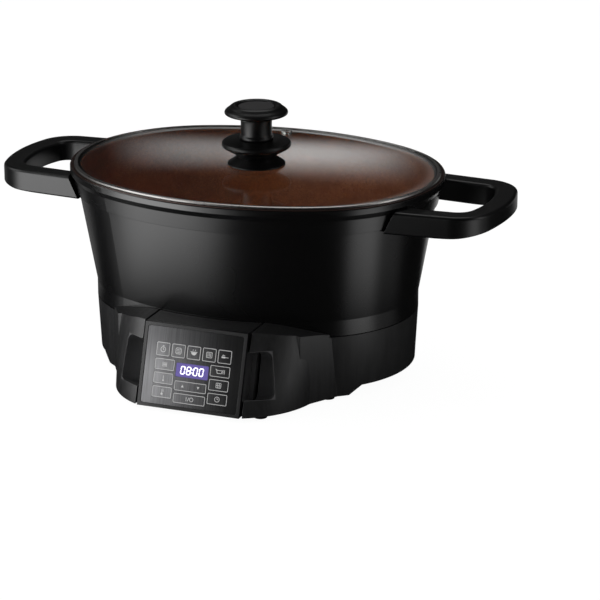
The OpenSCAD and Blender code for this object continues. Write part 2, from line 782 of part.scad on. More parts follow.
// The cover's band of height, seen from the front
module cover_band(low, high) across(panel_front + over) polygon([
    [-pot_w / 2, base_z + grip_lift + low], [-plinth_half - plinth_run, base_z + grip_lift + low],
    [cover_run - plinth_half, base_z + low], [plinth_half - cover_run, base_z + low],
    [plinth_half + plinth_run, base_z + grip_lift + low], [pot_w / 2, base_z + grip_lift + low],
    [pot_w / 2, base_z + grip_lift + high], [plinth_half + plinth_run - cover_run, base_z + grip_lift + high],
    [plinth_half - 2 * cover_run, base_z + high], [2 * cover_run - plinth_half, base_z + high],
    [cover_run - plinth_half - plinth_run, base_z + grip_lift + high], [-pot_w / 2, base_z + grip_lift + high]]);
cover_run = 2;

module bottom_cover() color(base_black) placed() {
    difference() {
        intersection() {
            union() {
                oval_slab(base_in + base_draft + cover_gap, base_z - over, plate_top);
                difference() {
                    block(base_wall + cover_gap, base_z - over);
                    bay(base_wall + cover_gap);
                    both_ends() scoop(base_wall + cover_gap);
                }
            }
            cover_band(cover_rise, cover_rise + cover_t);
        }
        // air slots
        for (i = [0:vent_slots - 1])
            translate([(i - (vent_slots - 1) / 2) * slot_pitch, slot_len / 2, base_z])
                slab([slot_w, slot_len, cover_top]);
        at_bosses() bore(screw_r + screw_gap, 2 * grip_lift);
        at_feet() translate([0, 0, base_z]) bore(foot_stud_r + fit_gap, cover_top);
    }
    // stand-offs for the power board
    at_board_corners() translate([0, 0, cover_top - fit_gap])
        tube(post_r, boss_bore_r, board_z - cover_top + fit_gap);
}

cover_screw_len = 12;

module cover_screws() color(steel) placed() at_bosses() translate([0, 0, cover_rise - fit_gap]) {
    translate([0, 0, -screw_head_h]) cylinder(r = screw_head_r, h = screw_head_h);
    cylinder(r = boss_bore_r - screw_gap, h = cover_screw_len);
}

// Feet
foot_stud_r = 3;
foot_reach = pot_end_r - base_in - base_draft - 1.1 * foot_r;
side_foot_a = 57;
back_foot_a = 50;
module at_feet() both_ends() {
    translate([bay_half + base_wall + 1.1 * foot_r, 3.6 * foot_r - panel_front, 0]) children();
    translate([end_x + foot_reach * cos(side_foot_a), -foot_reach * sin(side_foot_a), 0]) children();
    translate([end_x + (foot_reach - foot_r) * cos(back_foot_a), (foot_reach - foot_r) * sin(back_foot_a), 0])
        children();
}

module rubber_feet() color(rubber_black) placed() at_feet() {
    cylinder(r = foot_r, h = base_z + cover_rise - fit_gap);
    cylinder(r = foot_stud_r, h = cover_top + over);
}

// Reflector pan under the heating plate
pan_gap = 1;
pan_edge = 4;
pan_wall_in = boss_inset + boss_r + pan_gap;
pan_floor_z = base_z + pan_lift;

module reflector_pan() color(steel) placed() difference() {
    oval_solid([[pan_wall_in + pan_edge, pan_floor_z], [pan_wall_in, pan_floor_z + pan_edge],
        [pan_wall_in, pan_rim_z], [base_in + pan_gap, pan_rim_z], [base_in + pan_gap, pan_rim_z + pan_t]]);
    oval_solid([[pan_wall_in + pan_edge + pan_t, pan_floor_z + pan_t],
        [pan_wall_in + pan_t, pan_floor_z + pan_edge + pan_t], [pan_wall_in + pan_t, pan_rim_z + 2 * over]]);
    translate([0, 0, pan_floor_z]) bore(guide_r + fit_gap, pan_t);
    at_terminals() translate([0, 0, pan_floor_z]) bore(2 * terminal_r, pan_t);
}

// Heating plate, with the element under it and the sensor through its middle
plate_edge = 1.6;
module heating_plate() color([0.55, 0.55, 0.56]) placed() difference() {
    oval_solid([[plate_inset + plate_edge, plate_top - plate_t], [plate_inset, plate_top - plate_t + plate_edge],
        [plate_inset, plate_top - plate_edge], [plate_inset + plate_edge, plate_top - seat_gap]]);
    translate([0, 0, plate_top - plate_t]) bore(sensor_r + over, plate_t);
    at_posts() translate([0, 0, plate_top - plate_t - over]) cylinder(r = screw_r, h = plate_t / 2 + over);
}

element_z = plate_top - plate_t - element_r - fit_gap;
element_gap = 30;
terminal_r = 1.6;
terminal_out = 4;

module at_terminals() for (side = [-1, 1])
    translate([side * (element_gap / 2 + element_r), pot_d / 2 - element_inset, 0]) children();

module heating_element() color([0.35, 0.33, 0.32]) placed() {
    difference() {
        oval_ring([for (i = [0:11]) [element_inset, element_z] + element_r * [cos(30 * i), sin(30 * i)]]);
        translate([0, pot_d / 2 - element_inset, element_z - 2 * element_r])
            slab([element_gap, 6 * element_r, 4 * element_r]);
    }
    at_terminals() translate([0, 0, pan_floor_z - terminal_out])
        cylinder(r = terminal_r, h = element_z - pan_floor_z + terminal_out);
}

post_r = 4;
post_x = 66;
post_y = 34;
module at_posts() for (x = [-post_x, post_x], y = [-post_y, post_y]) translate([x, y, 0]) children();

module plate_posts() color(steel) placed() at_posts() {
    translate([0, 0, pan_floor_z + pan_t + fit_gap])
        cylinder(r = post_r, h = plate_top - plate_t - pan_floor_z - pan_t - 2 * fit_gap);
    translate([0, 0, plate_top - plate_t - fit_gap - over]) cylinder(r = screw_r - screw_gap, h = plate_t / 2);
}

// Thermal fuse clamped under the heating plate
fuse_r = 2.6;
fuse_len = 15;
fuse_x = 30;
strap_w = 8;
strap_t = 0.8;

module thermal_fuse() color([0.80, 0.78, 0.70]) placed()
    translate([fuse_x, 0, plate_top - plate_t - fuse_r - fit_gap]) {
        rotate([90, 0, 0]) translate([0, 0, -fuse_len / 2]) cylinder(r = fuse_r, h = fuse_len);
        translate([0, 0, -fuse_r - strap_t / 2]) slab([4 * fuse_r, strap_w, strap_t]);
        for (side = [-1, 1]) translate([side * 2 * fuse_r, 0, -fuse_r - strap_t / 2])
            slab([strap_t, strap_w, 2 * fuse_r + strap_t / 2]);
    }

// Temperature sensor: a sprung plunger in a guide that stands in the pan
guide_r = 7;
guide_bore_r = 4.1;
plunger_r = 4;
guide_h = 12;
cap_t = 5;
spring_wire_r = 0.6;
spring_turns = 5;
spring_steps = 12;
spring_sides = 6;
plunger_gap = 0.5;
plunger_top = plate_top - plunger_gap;
guide_out = 3;
guide_flange = 4;
plunger_out = 2;
cap_z = plunger_top - cap_t;
guide_top = pan_floor_z + guide_h;

module sensor_guide() color(steel) placed() translate([0, 0, pan_floor_z - guide_out]) {
    tube(guide_r, guide_bore_r, guide_h + guide_out);
    translate([0, 0, guide_out + pan_t + fit_gap]) tube(guide_r + guide_flange, guide_bore_r, pan_t);
}

module sensor_plunger() color([0.62, 0.62, 0.64]) placed() {
    translate([0, 0, cap_z]) cylinder(r = sensor_r, h = cap_t);
    translate([0, 0, pan_floor_z - plunger_out])
        cylinder(r = plunger_r, h = cap_z - pan_floor_z + plunger_out);
}

spring_r = (guide_bore_r + guide_r) / 2 + spring_wire_r / 2;
spring_z = guide_top + spring_wire_r + fit_gap;
spring_h = cap_z - guide_top - 2 * spring_wire_r - 2 * fit_gap;

module sensor_spring() color(steel) placed() coil(spring_r, spring_wire_r, spring_z, spring_h, spring_turns);

// Helical wire as one closed tube
module coil(r, wire, low, height, turns) {
    rings = turns * spring_steps;
    points = [for (i = [0:rings], k = [0:spring_sides - 1])
        let (a = 360 * i / spring_steps, b = 360 * k / spring_sides, out = r + wire * cos(b))
        [out * cos(a), out * sin(a), low + height * i / rings + wire * sin(b)]];
    sides = [for (i = [0:rings - 1], k = [0:spring_sides - 1])
        let (n = (k + 1) % spring_sides, p = i * spring_sides, q = p + spring_sides)
        each [[p + k, p + n, q + n], [p + k, q + n, q + k]]];
    start = [for (k = [1:spring_sides - 2]) [0, k + 1, k]];
    last = rings * spring_sides;
    end = [for (k = [1:spring_sides - 2]) [last, last + k, last + k + 1]];
    polyhedron(points, concat(sides, start, end));
}

// Power board on the bottom cover
board_w = 96;
board_d = 58;
board_t = 1.6;
board_y = -52;
board_lift = 3;
board_z = cover_top + board_lift;
board_in = 5;
terminal_block = [14, 8, 7];
relay = [22, 16, 9];
coil_core = [24, 20, 3];
coil_body = [16, 20, 6];
module at_board_corners() for (x = [-1, 1], y = [-1, 1])
    translate([x * (board_w / 2 - board_in), board_y + y * (board_d / 2 - board_in), 0]) children();

module power_board() color(board_green) placed() {
    difference() {
        translate([0, board_y, board_z]) slab([board_w, board_d, board_t]);
        at_board_corners() translate([0, 0, board_z]) bore(boss_bore_r, board_t);
    }
    for (x = [-1, 1]) translate([x * board_w / 9, board_y - board_d / 3, board_z + board_t])
        slab(terminal_block);
}

module power_relay() color([0.15, 0.30, 0.55]) placed()
    translate([-board_w / 4, board_y + board_d / 12, board_z + board_t]) slab(relay);

module power_transformer() color([0.75, 0.60, 0.20]) placed()
    translate([board_w / 4, board_y + board_d / 12, board_z + board_t]) {
        slab(coil_core);
        translate([0, 0, coil_core.z]) slab(coil_body);
    }

module pins() for (i = [0:pin_count - 1]) translate([(i - (pin_count - 1) / 2) * pin_pitch, 0, 0]) children();

module base_socket() color([0.16, 0.16, 0.17]) placed() translate([0, -socket_face, socket_z]) difference() {
    union() {
        rotate([-90, 0, 0]) slab([socket_w, socket_h, socket_depth]);
        translate([0, base_wall + socket_rim_gap, 0]) rotate([-90, 0, 0])
            slab([socket_w + 2 * socket_rim_w, socket_h + 2 * socket_rim_h, socket_rim_t]);
    }
    pins() translate([0, -over, 0]) rotate([-90, 0, 0])
        cylinder(r = pin_r + pin_gap, h = socket_depth - over);
}

// Gland of the supply cord, square to the back wall
module cord_gland() color(rubber_black) placed() at_gland() difference() {
    union() {
        translate([0, 0, -base_wall - gland_in])
            cylinder(r = gland_r - fit_gap, h = base_wall + gland_in + gland_out);
        translate([0, 0, gland_rim_gap]) cylinder(r = gland_r + gland_rim_w, h = gland_rim_t);
        translate([0, 0, gland_rim_t])
            cylinder(r1 = 0.88 * gland_r, r2 = 1.44 * gland_hole_r, h = gland_tail);
    }
    translate([0, 0, -base_wall - gland_in]) bore(gland_hole_r, base_wall + gland_in + gland_rim_t + gland_tail);
}

// Leads inside the base: runs of straight wire with a sleeve at each bend
wire_r = 1.1;
sleeve_r = 1.6;
module lead(points) for (i = [0:len(points) - 2]) {
    a = points[i];
    d = points[i + 1] - a;
    translate(a) rotate([0, acos(d.z / norm(d)), atan2(d.y, d.x)]) cylinder(r = wire_r, h = norm(d));
    if (i > 0) translate(a) sphere(r = sleeve_r);
}
lead_rise = 3;
lead_in = 6;
lead_z = board_z + board_t + lead_rise;
lead_foot = board_z + board_t + fit_gap;
lead_y = board_y + board_d / 2 - lead_in;
lead_end = side_r - base_inset(gland_z) - base_wall - gland_in - fit_gap;
module base_wiring() color([0.55, 0.12, 0.10]) placed() {
    for (side = [-1, 1]) {
        tx = side * (element_gap / 2 + element_r);
        ty = pot_d / 2 - element_inset;
        lead([[tx, ty, pan_floor_z - terminal_out - fit_gap], [tx, ty, lead_z],
            [tx, lead_y, lead_z], [tx, lead_y, lead_foot]]);
    }
    lead([[lead_end * sin(gland_turn), lead_end * cos(gland_turn) - side_y, gland_z],
        [lead_end * sin(gland_turn), lead_end * cos(gland_turn) - side_y - lead_in, lead_z],
        [board_w / 2 - lead_in, lead_y, lead_z], [board_w / 2 - lead_in, lead_y, lead_foot]]);
    lead([[0, socket_depth - socket_face + wire_r, socket_z - socket_h / 3],
        [0, socket_depth - socket_face + lead_in, lead_z], [0, board_y - board_d / 6, lead_z],
        [0, board_y - board_d / 6, lead_foot]]);
}

// Control unit: a leaning frame with a film and keys, on a housing that follows the base's wall
film_w = panel_w - 2 * border_w;
film_len = panel_len - 2 * border_w;
film_t = 0.8;
film_drop = 0.5;
film_foot = -film_drop - film_t;
pocket_share = 0.7;
pocket_foot = -pocket_share * frame_t;
frame_corner = 2;
key_flange = 0.5;
key_flange_t = 0.5;
key_flange_gap = 0.1;
rocker_flange_gap = 0.45;
key_rest = 0.1;
key_corner = 1.2;
key_stem_r = 2;
grid_top = grid_foot + side_group_h + row_gap + top_key_h;
side_key_h = (side_group_h - 2 * row_gap) / 3;
top_key_w = (grid_w - (top_keys - 1) * key_gap) / top_keys;
mid_w = grid_w - 2 * side_key_w - 2 * key_gap;
low_group_top = mid_foot + 2 * low_key_h + row_gap;
display_y = low_group_top + display_gap + display_h / 2;

// Middle of a key on the panel, [across, up the slope]
function top_key(i) = [(i - (top_keys - 1) / 2) * (top_key_w + key_gap), grid_top - top_key_h / 2];
function side_key(side, i) = [side * (grid_w - side_key_w) / 2,
    grid_foot + side_group_h - side_key_h / 2 - i * (side_key_h + row_gap)];
power_key_at = [0, mid_foot + low_key_h / 2];
rocker_at = [0, low_group_top - low_key_h / 2];

top_size = [top_key_w, top_key_h];
side_size = [side_key_w, side_key_h];
low_size = [mid_w, low_key_h];

// Each key's middle and size
key_table = concat(
    [for (i = [0:top_keys - 1]) [top_key(i), top_size]],
    [for (side = [-1, 1], i = [0:2]) [side_key(side, i), side_size]],
    [[rocker_at, low_size], [power_key_at, low_size]]);

// What every key switch stands on
switch_w = 6;
switch_gap = 1;
switch_h = 2;
switch_body_share = 0.7;
switch_top = -frame_t - switch_gap;
board_face = switch_top - switch_h;
rocker_spread = mid_w / 3;

module at_switches() {
    for (k = key_table) if (k[0] != rocker_at) translate(k[0]) children();
    for (side = [-1, 1]) translate(rocker_at + [side * rocker_spread, 0]) children();
}

module key(at, size) panel() translate(at) {
    top = key_travel / 2 - film_drop;
    rocks = at == rocker_at;
    flange_top = film_foot - (rocks ? rocker_flange_gap : key_flange_gap);
    flange_z = flange_top - key_flange_t;
    face = size - 2 * key_slit * [1, 1];
    stem_foot = switch_top + key_travel + key_rest;
    translate([0, 0, flange_z]) plate(face, key_corner, top - flange_z);
    translate([0, 0, flange_z]) plate(face + 2 * key_flange * [1, 1], key_corner, key_flange_t);
    for (x = rocks ? [-rocker_spread, rocker_spread] : [0]) translate([x, 0, stem_foot])
        cylinder(r = key_stem_r, h = flange_top - stem_foot);
}

module control_frame() color(plastic_black) placed() difference() {
    intersection() {
        panel() union() {
            translate([-panel_w / 2, -frame_t, -frame_t]) cube([panel_w, panel_len + 2 * frame_t, frame_t]);
            at_frame_posts() translate([0, 0, board_face + fit_gap])
                cylinder(r = post_r, h = -frame_t - board_face);
        }
        translate([-pot_w / 2, -pot_d, base_z]) cube([pot_w, pot_d, shelf_z - base_z]);
    }
    panel() {
        // seat of the film, pockets of the keys and holes for their stems
        translate([0, panel_len / 2, film_foot]) plate([film_w, film_len], frame_corner, frame_t);
        for (k = key_table) translate([k[0].x, k[0].y, pocket_foot])
            plate(k[1] + 2 * key_flange * [1, 1], key_corner, frame_t);
        at_switches() translate([0, 0, -frame_t]) bore(key_stem_r + pocket_gap, frame_t);
        // opening for the display
        translate([0, display_y, -frame_t - over]) plate([mid_w, display_h], key_corner, 2 * frame_t);
        at_frame_posts() translate([0, 0, board_face]) cylinder(r = boss_bore_r, h = -board_face - frame_t);
    }
}

module control_film() color(film_grey) placed() panel() difference() {
    translate([0, panel_len / 2, film_foot])
        plate([film_w - 2 * fit_gap, film_len - 2 * fit_gap], frame_corner, film_t);
    for (k = key_table) translate([k[0].x, k[0].y, film_foot - over]) plate(k[1], key_corner, frame_t);
    translate([0, display_y, film_foot - over]) plate([mid_w, display_h], key_corner, frame_t);
}

module display_window() color([0.05, 0.05, 0.15, 0.6]) placed() panel()
    translate([0, display_y, film_foot])
        plate([mid_w - 2 * fit_gap, display_h - 2 * fit_gap], key_corner, film_t);

module display_module() color([0.12, 0.12, 0.14]) placed() panel()
    translate([0, display_y, board_face + fit_gap])
        plate([mid_w - 4 * fit_gap, display_h - 4 * fit_gap], key_corner, film_foot - board_face - 3 * fit_gap);

frame_post_in = 13;
frame_post_x = panel_w / 2 - frame_post_in;
frame_post_low = 11.5;
frame_post_high = 7;
module at_frame_posts() for (x = [-1, 1], y = [frame_post_low, panel_len - frame_post_high])
    translate([x * frame_post_x, y, 0]) children();

board_edge = 8;
board_foot = 6.5;
board_head = 3;
module control_board() color(board_green) placed() panel() difference() {
    translate([0, (panel_len + board_foot - board_head) / 2, board_face - board_t])
        slab([panel_w - 2 * board_edge, panel_len - board_foot - board_head, board_t]);
    at_frame_posts() translate([0, 0, board_face - board_t]) bore(boss_bore_r, board_t);
}

module key_switches() color([0.85, 0.85, 0.82]) placed() panel() at_switches()
    translate([0, 0, board_face]) {
        slab([switch_w, switch_w, switch_body_share * switch_h]);
        cylinder(r = switch_w / 4, h = switch_h);
    }

module frame_screws() color(steel) placed() panel() at_frame_posts()
    translate([0, 0, board_face - board_t - fit_gap]) {
        translate([0, 0, -boss_bore_r]) cylinder(r = 2 * boss_bore_r, h = boss_bore_r);
        cylinder(r = boss_bore_r - screw_gap, h = board_t + switch_h);
    }

// Housing behind the frame: notched at both sides for the fingers
side_notch = 4;
notch_low = 16;
notch_len = 42;
notch_deep = 24;

module unit_outside(t) difference() {
    translate([t - panel_w / 2, -panel_front, base_z + t])
        cube([panel_w - 2 * t, panel_front, shelf_z - base_z - 2 * t]);
    oval_slab(heel_in - bay_gap / 2 - t, base_z - over, shelf_z + over);
    panel() translate([-panel_w, -panel_len, -frame_t - fit_gap]) cube([2 * panel_w, 3 * panel_len, pot_d]);
}

module control_housing() color(base_black) placed() difference() {
    unit_outside(0);
    both_ends() notch(0);
    difference() {
        translate([0, 0, 0]) unit_inside();
        both_ends() notch(base_wall);
        }
    translate([0, -socket_face - 2 * lap - bay_gap, socket_z]) rotate([-90, 0, 0])
        slab([plug_w + 2 * fit_gap, plug_h + 2 * fit_gap, 4 * lap]);
}

module notch(t) panel() translate([panel_w / 2 - side_notch - t, notch_low - t, -frame_t - notch_deep - t])
    cube([2 * side_notch + t, notch_len + 2 * t, notch_deep + 2 * t]);

module unit_inside() difference() {
    translate([base_wall - panel_w / 2, -panel_front - over, base_z + base_wall])
        cube([panel_w - 2 * base_wall, panel_front, shelf_z - base_z - 2 * base_wall]);
    oval_slab(heel_in - bay_gap / 2 - base_wall, base_z - over, shelf_z + over);
}

plug_w = 32;
plug_h = 13;
plug_rim_w = 3;
plug_rim_t = 2.5;
pin_len = 7;

module control_plug() color([0.16, 0.16, 0.17]) placed() {
    translate([0, plug_y - plug_depth, socket_z]) rotate([-90, 0, 0]) {
        slab([plug_w, plug_h, plug_depth]);
        slab([plug_w + 2 * plug_rim_w, plug_h + 2 * plug_rim_w, plug_rim_t]);
    }
    translate([0, plug_y, socket_z]) pins() rotate([-90, 0, 0]) translate([0, 0, -lap])
        cylinder(r = pin_r, h = pin_len + lap);
}
plug_y = -socket_face - 2 * seat_gap;
plug_out = pot_d / 2 - heel_in + bay_gap / 2 + base_wall + fit_gap + plug_y;
plug_depth = plug_out + plug_rim_t;

pot_body();
pot_coating();
handle_left();
handle_right();
handle_screws();
lid_glass();
lid_ring();
vent_eyelet();
knob_seat();
knob_guard();
knob_grip();
knob_insert();
knob_gasket();
knob_screw();
base_housing();
bottom_cover();
cover_screws();
rubber_feet();
reflector_pan();
heating_plate();
heating_element();
plate_posts();
thermal_fuse();
sensor_guide();
sensor_plunger();
sensor_spring();
power_board();
power_relay();
power_transformer();
base_socket();
cord_gland();
base_wiring();
control_frame();
control_film();
display_window();
display_module();
control_housing();
control_board();
key_switches();
control_plug();
frame_screws();
one_key(0);  // key_top_1
one_key(1);  // key_top_2
one_key(2);  // key_top_3
one_key(3);  // key_top_4
one_key(4);  // key_top_5
one_key(top_keys);  // key_left_1
one_key(top_keys + 1);  // key_left_2
one_key(top_keys + 2);  // key_left_3
one_key(top_keys + 3);  // key_right_1
one_key(top_keys + 4);  // key_right_2
one_key(top_keys + 5);  // key_right_3
one_key(top_keys + 6);  // key_up_down
one_key(top_keys + 7);  // key_power

module one_key(i) color(key_grey) placed() key(key_table[i][0], key_table[i][1]);
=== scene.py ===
# %% [markdown]
# # Multicooker, dressed
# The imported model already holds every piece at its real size: pot, lid, handles, base, control
# unit and keys. This lesson keeps those meshes, apart from five that finer ones replace (the
# glass, two turned parts of the knob, a spring and the wires), and adds what makes them look
# real: coats, grain and gloss from shader nodes, printed key outlines and pictograms, a lit
# display, a camera and a plain studio. All geometry is in metres, and tables in millimetres are
# multiplied by MM.

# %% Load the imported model
import math

import bmesh
import bpy
import numpy as np
from mathutils import Matrix


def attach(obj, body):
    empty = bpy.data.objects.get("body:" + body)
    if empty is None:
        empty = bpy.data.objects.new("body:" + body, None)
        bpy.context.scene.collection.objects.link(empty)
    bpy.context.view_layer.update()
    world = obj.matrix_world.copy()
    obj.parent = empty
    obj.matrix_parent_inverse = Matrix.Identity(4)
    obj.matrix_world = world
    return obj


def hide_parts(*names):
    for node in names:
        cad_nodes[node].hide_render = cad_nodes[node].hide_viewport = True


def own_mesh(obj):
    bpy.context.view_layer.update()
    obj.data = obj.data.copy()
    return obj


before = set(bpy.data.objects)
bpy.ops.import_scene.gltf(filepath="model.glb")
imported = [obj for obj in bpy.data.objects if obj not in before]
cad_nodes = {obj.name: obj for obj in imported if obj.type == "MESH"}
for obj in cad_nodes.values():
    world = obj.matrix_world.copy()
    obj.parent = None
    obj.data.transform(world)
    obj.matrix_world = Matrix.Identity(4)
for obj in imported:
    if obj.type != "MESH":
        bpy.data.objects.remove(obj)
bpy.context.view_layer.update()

# %% [markdown]
# ## The camera
# The photograph looks down at the cooker from its front right. The camera could be placed by
# eye, but these values were fitted once to the oval rim, the knob and the panel's corners, so
# the render lines up with the photograph without any shift of the lens.

# %% Camera
MM = 0.001
POT_AXIS_Y = 13.7 * MM      # the pot's own axis lies behind the middle of the outline
AZIMUTH = math.radians(21.47)
ELEVATION = math.radians(18.5)
DISTANCE = 2.60114
AIM = np.array([0, POT_AXIS_Y, 0.13])
ASIDE, ABOVE = 0.03965, -0.06916
LENS = 169.85               # millimetres, on a sensor 36 mm wide

# Unit vectors to the camera's right, back and up
right = np.array([math.cos(AZIMUTH), math.sin(AZIMUTH), 0.0])
back = np.array([math.sin(AZIMUTH) * math.cos(ELEVATION),
                 -math.cos(AZIMUTH) * math.cos(ELEVATION), math.sin(ELEVATION)])
up = np.cross(back, right)
scene = bpy.context.scene
camera = bpy.data.objects.new("camera", bpy.data.cameras.new("camera"))
scene.collection.objects.link(camera)
camera.data.lens = LENS
camera.data.sensor_width = 36
camera.data.clip_end = 50
place = np.eye(4)
place[:3, 0], place[:3, 1], place[:3, 2] = right, up, back
place[:3, 3] = AIM + back * DISTANCE + right * ASIDE + up * ABOVE
camera.matrix_world = Matrix(place.tolist())
scene.camera = camera
scene.view_settings.view_transform = "Standard"
print("camera at", np.round(place[:3, 3], 3).tolist())

# %% [markdown]
# ## Helpers for surfaces
# Every new piece is a grid of points worked out as whole arrays: either a function of two
# parameters, or a small profile carried along a path. One helper turns such a grid into a mesh
# and closes its seams, and one carries a profile along any path without twisting it.


# %% Grid to mesh, and a profile along a path
def grid_faces(rows, columns, wrap_rows, wrap_columns):
    """Quads between neighbours of a grid of points that is numbered row by row."""
    index = np.arange(rows * columns).reshape(rows, columns)
    if wrap_rows:
        index = np.vstack([index, index[:1]])
    if wrap_columns:
        index = np.hstack([index, index[:, :1]])
    return np.stack([index[:-1, :-1], index[:-1, 1:], index[1:, 1:], index[1:, :-1]],
                    axis=-1).reshape(-1, 4)


def swept(path, profile, closed, square_to=None):
    """Points and faces of a closed profile carried along a path. Each ring stands square to the
    path, and its first axis is kept square to one fixed direction."""
    path, profile = np.asarray(path, float), np.asarray(profile, float)
    if closed:
        ahead = np.roll(path, -1, 0) - path
        behind = path - np.roll(path, 1, 0)
    else:
        step = np.diff(path, axis=0)
        ahead, behind = np.vstack([step, step[-1:]]), np.vstack([step[:1], step])
    ahead /= np.linalg.norm(ahead, axis=1)[:, None]
    behind /= np.linalg.norm(behind, axis=1)[:, None]
    along = ahead + behind
    along /= np.linalg.norm(along, axis=1)[:, None]
    fixed = np.array([0.0, 0.0, 1.0]) if square_to is None else np.asarray(square_to, float)
    side = np.cross(along, fixed)
    side /= np.maximum(np.linalg.norm(side, axis=1), 1e-9)[:, None]
    lift = np.cross(side, along)
    stretch = 1 / np.maximum(np.sum(along * ahead, 1), 0.5)     # keeps the width at sharp turns
    points = (path[:, None] + side[:, None] * profile[None, :, :1] * stretch[:, None, None]
              + lift[:, None] * profile[None, :, 1:2])
    rows, columns = points.shape[:2]
    faces = [list(f) for f in grid_faces(rows, columns, closed, True)]
    if not closed:
        faces += [list(range(columns))[::-1],
                  list(range((rows - 1) * columns, rows * columns))]
    return points.reshape(-1, 3), faces


def piece(name, parts, body, material, smooth=True):
    """One object from several (points, faces) parts, with its place in its mesh and outward
    faces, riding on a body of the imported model."""
    points, faces, start = [], [], 0
    for part_points, part_faces in parts:
        points.append(part_points)
        faces += [[int(i) + start for i in f] for f in part_faces]
        start += len(part_points)
    mesh = bpy.data.meshes.new(name)
    mesh.from_pydata(np.vstack(points).tolist(), [], faces)
    shell = bmesh.new()
    shell.from_mesh(mesh)
    bmesh.ops.remove_doubles(shell, verts=shell.verts, dist=1e-7)
    bmesh.ops.recalc_face_normals(shell, faces=shell.faces)
    shell.to_mesh(mesh)
    shell.free()
    mesh.polygons.foreach_set("use_smooth", [smooth] * len(mesh.polygons))
    made = bpy.data.objects.new(name, mesh)
    scene.collection.objects.link(made)
    made.data.materials.append(material)
    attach(made, body)
    return made


def circle_profile(radius, sides):
    """Points of a round section: radius times the cosine and sine of even steps of a turn."""
    a = np.linspace(0, 2 * math.pi, sides, endpoint=False)
    return np.stack([radius * np.cos(a), radius * np.sin(a)], 1)


# %% [markdown]
# ## Effects that several finishes share
# A coat on metal, a moulded plastic and a brushed film all need fine relief, and each real
# surface varies a little in gloss. These effects are node groups with named inputs, so that each
# finish sets its own scale and depth. They read Object coordinates, which here are the model's own.


# %% Node group helpers
def new_group(name, inputs, outputs):
    """An empty node group with float or vector sockets, and its input and output nodes."""
    group = bpy.data.node_groups.new(name, "ShaderNodeTree")
    for label, kind in inputs:
        group.interface.new_socket(label, in_out="INPUT", socket_type=kind)
    for label, kind in outputs:
        group.interface.new_socket(label, in_out="OUTPUT", socket_type=kind)
    return group, group.nodes.new("NodeGroupInput"), group.nodes.new("NodeGroupOutput")


def with_inputs(tree, made, inputs):
    """Sets or links the inputs of a node: pairs of an input and a value or output socket."""
    for key, value in inputs:
        if isinstance(value, bpy.types.NodeSocket):
            tree.links.new(value, made.inputs[key])
        else:
            made.inputs[key].default_value = value
    return made


def node(tree, kind, inputs=(), **settings):
    """A node of a kind, with its settings and inputs."""
    made = tree.nodes.new("ShaderNode" + kind)
    for key, value in settings.items():
        setattr(made, key, value)
    return with_inputs(tree, made, inputs)


def use_group(tree, group, inputs):
    """A group placed in a material, with its own values."""
    made = tree.nodes.new("ShaderNodeGroup")
    made.node_tree = group
    return with_inputs(tree, made, inputs)


def maths(tree, operation, a, b=0.0, c=0.0):
    """The output of one Math node."""
    return node(tree, "Math", [(0, a), (1, b), (2, c)], operation=operation).outputs[0]


def ramp(tree, value, start, end, kind="LINEAR"):
    """Rises from 0 at start to 1 at end, and stays there."""
    return node(tree, "MapRange", [("Value", value), ("From Min", start), ("From Max", end)],
                interpolation_type=kind).outputs[0]


def smooth_step(tree, value, start, end):
    """Rises smoothly from 0 at start to 1 at end."""
    return ramp(tree, value, start, end, "SMOOTHSTEP")


def blended(tree, factor, a, b):
    """A colour between two others, by a factor."""
    return node(tree, "Mix", [("Factor", factor), ("A", a), ("B", b)],
                data_type="RGBA").outputs["Result"]


VECTOR, FLOAT, COLOR = "NodeSocketVector", "NodeSocketFloat", "NodeSocketColor"

# Fine moulded relief: small noise for the grain, with slow noise for the variation in gloss
moulded, g_in, g_out = new_group(
    "moulded relief", [("Vector", VECTOR), ("Scale", FLOAT), ("Gloss", FLOAT),
                       ("Variation", FLOAT)], [("Height", FLOAT), ("Roughness", FLOAT)])
grain = node(moulded, "TexNoise", [("Vector", g_in.outputs["Vector"]),
                                   ("Scale", g_in.outputs["Scale"]), ("Detail", 2.0)])
slow = node(moulded, "TexNoise", [("Vector", g_in.outputs["Vector"]), ("Scale", 14.0),
                                  ("Detail", 3.0)])
centred = maths(moulded, "SUBTRACT", slow.outputs[0], 0.5)
swing = maths(moulded, "MULTIPLY", centred, g_in.outputs["Variation"])
moulded.links.new(grain.outputs[0], g_out.inputs["Height"])
moulded.links.new(maths(moulded, "ADD", swing, g_in.outputs["Gloss"]), g_out.inputs["Roughness"])

# Streaks: noise stretched along one direction by a Mapping node in the material
streaks, g_in, g_out = new_group("brushed streaks", [("Vector", VECTOR)],
                                 [("Value", FLOAT), ("Height", FLOAT)])
coarse = node(streaks, "TexNoise", [("Vector", g_in.outputs["Vector"]), ("Scale", 1.0),
                                    ("Detail", 4.0), ("Roughness", 0.65)])
streaks.links.new(ramp(streaks, coarse.outputs[0], 0.3, 0.7), g_out.inputs["Value"])
streaks.links.new(coarse.outputs[0], g_out.inputs["Height"])

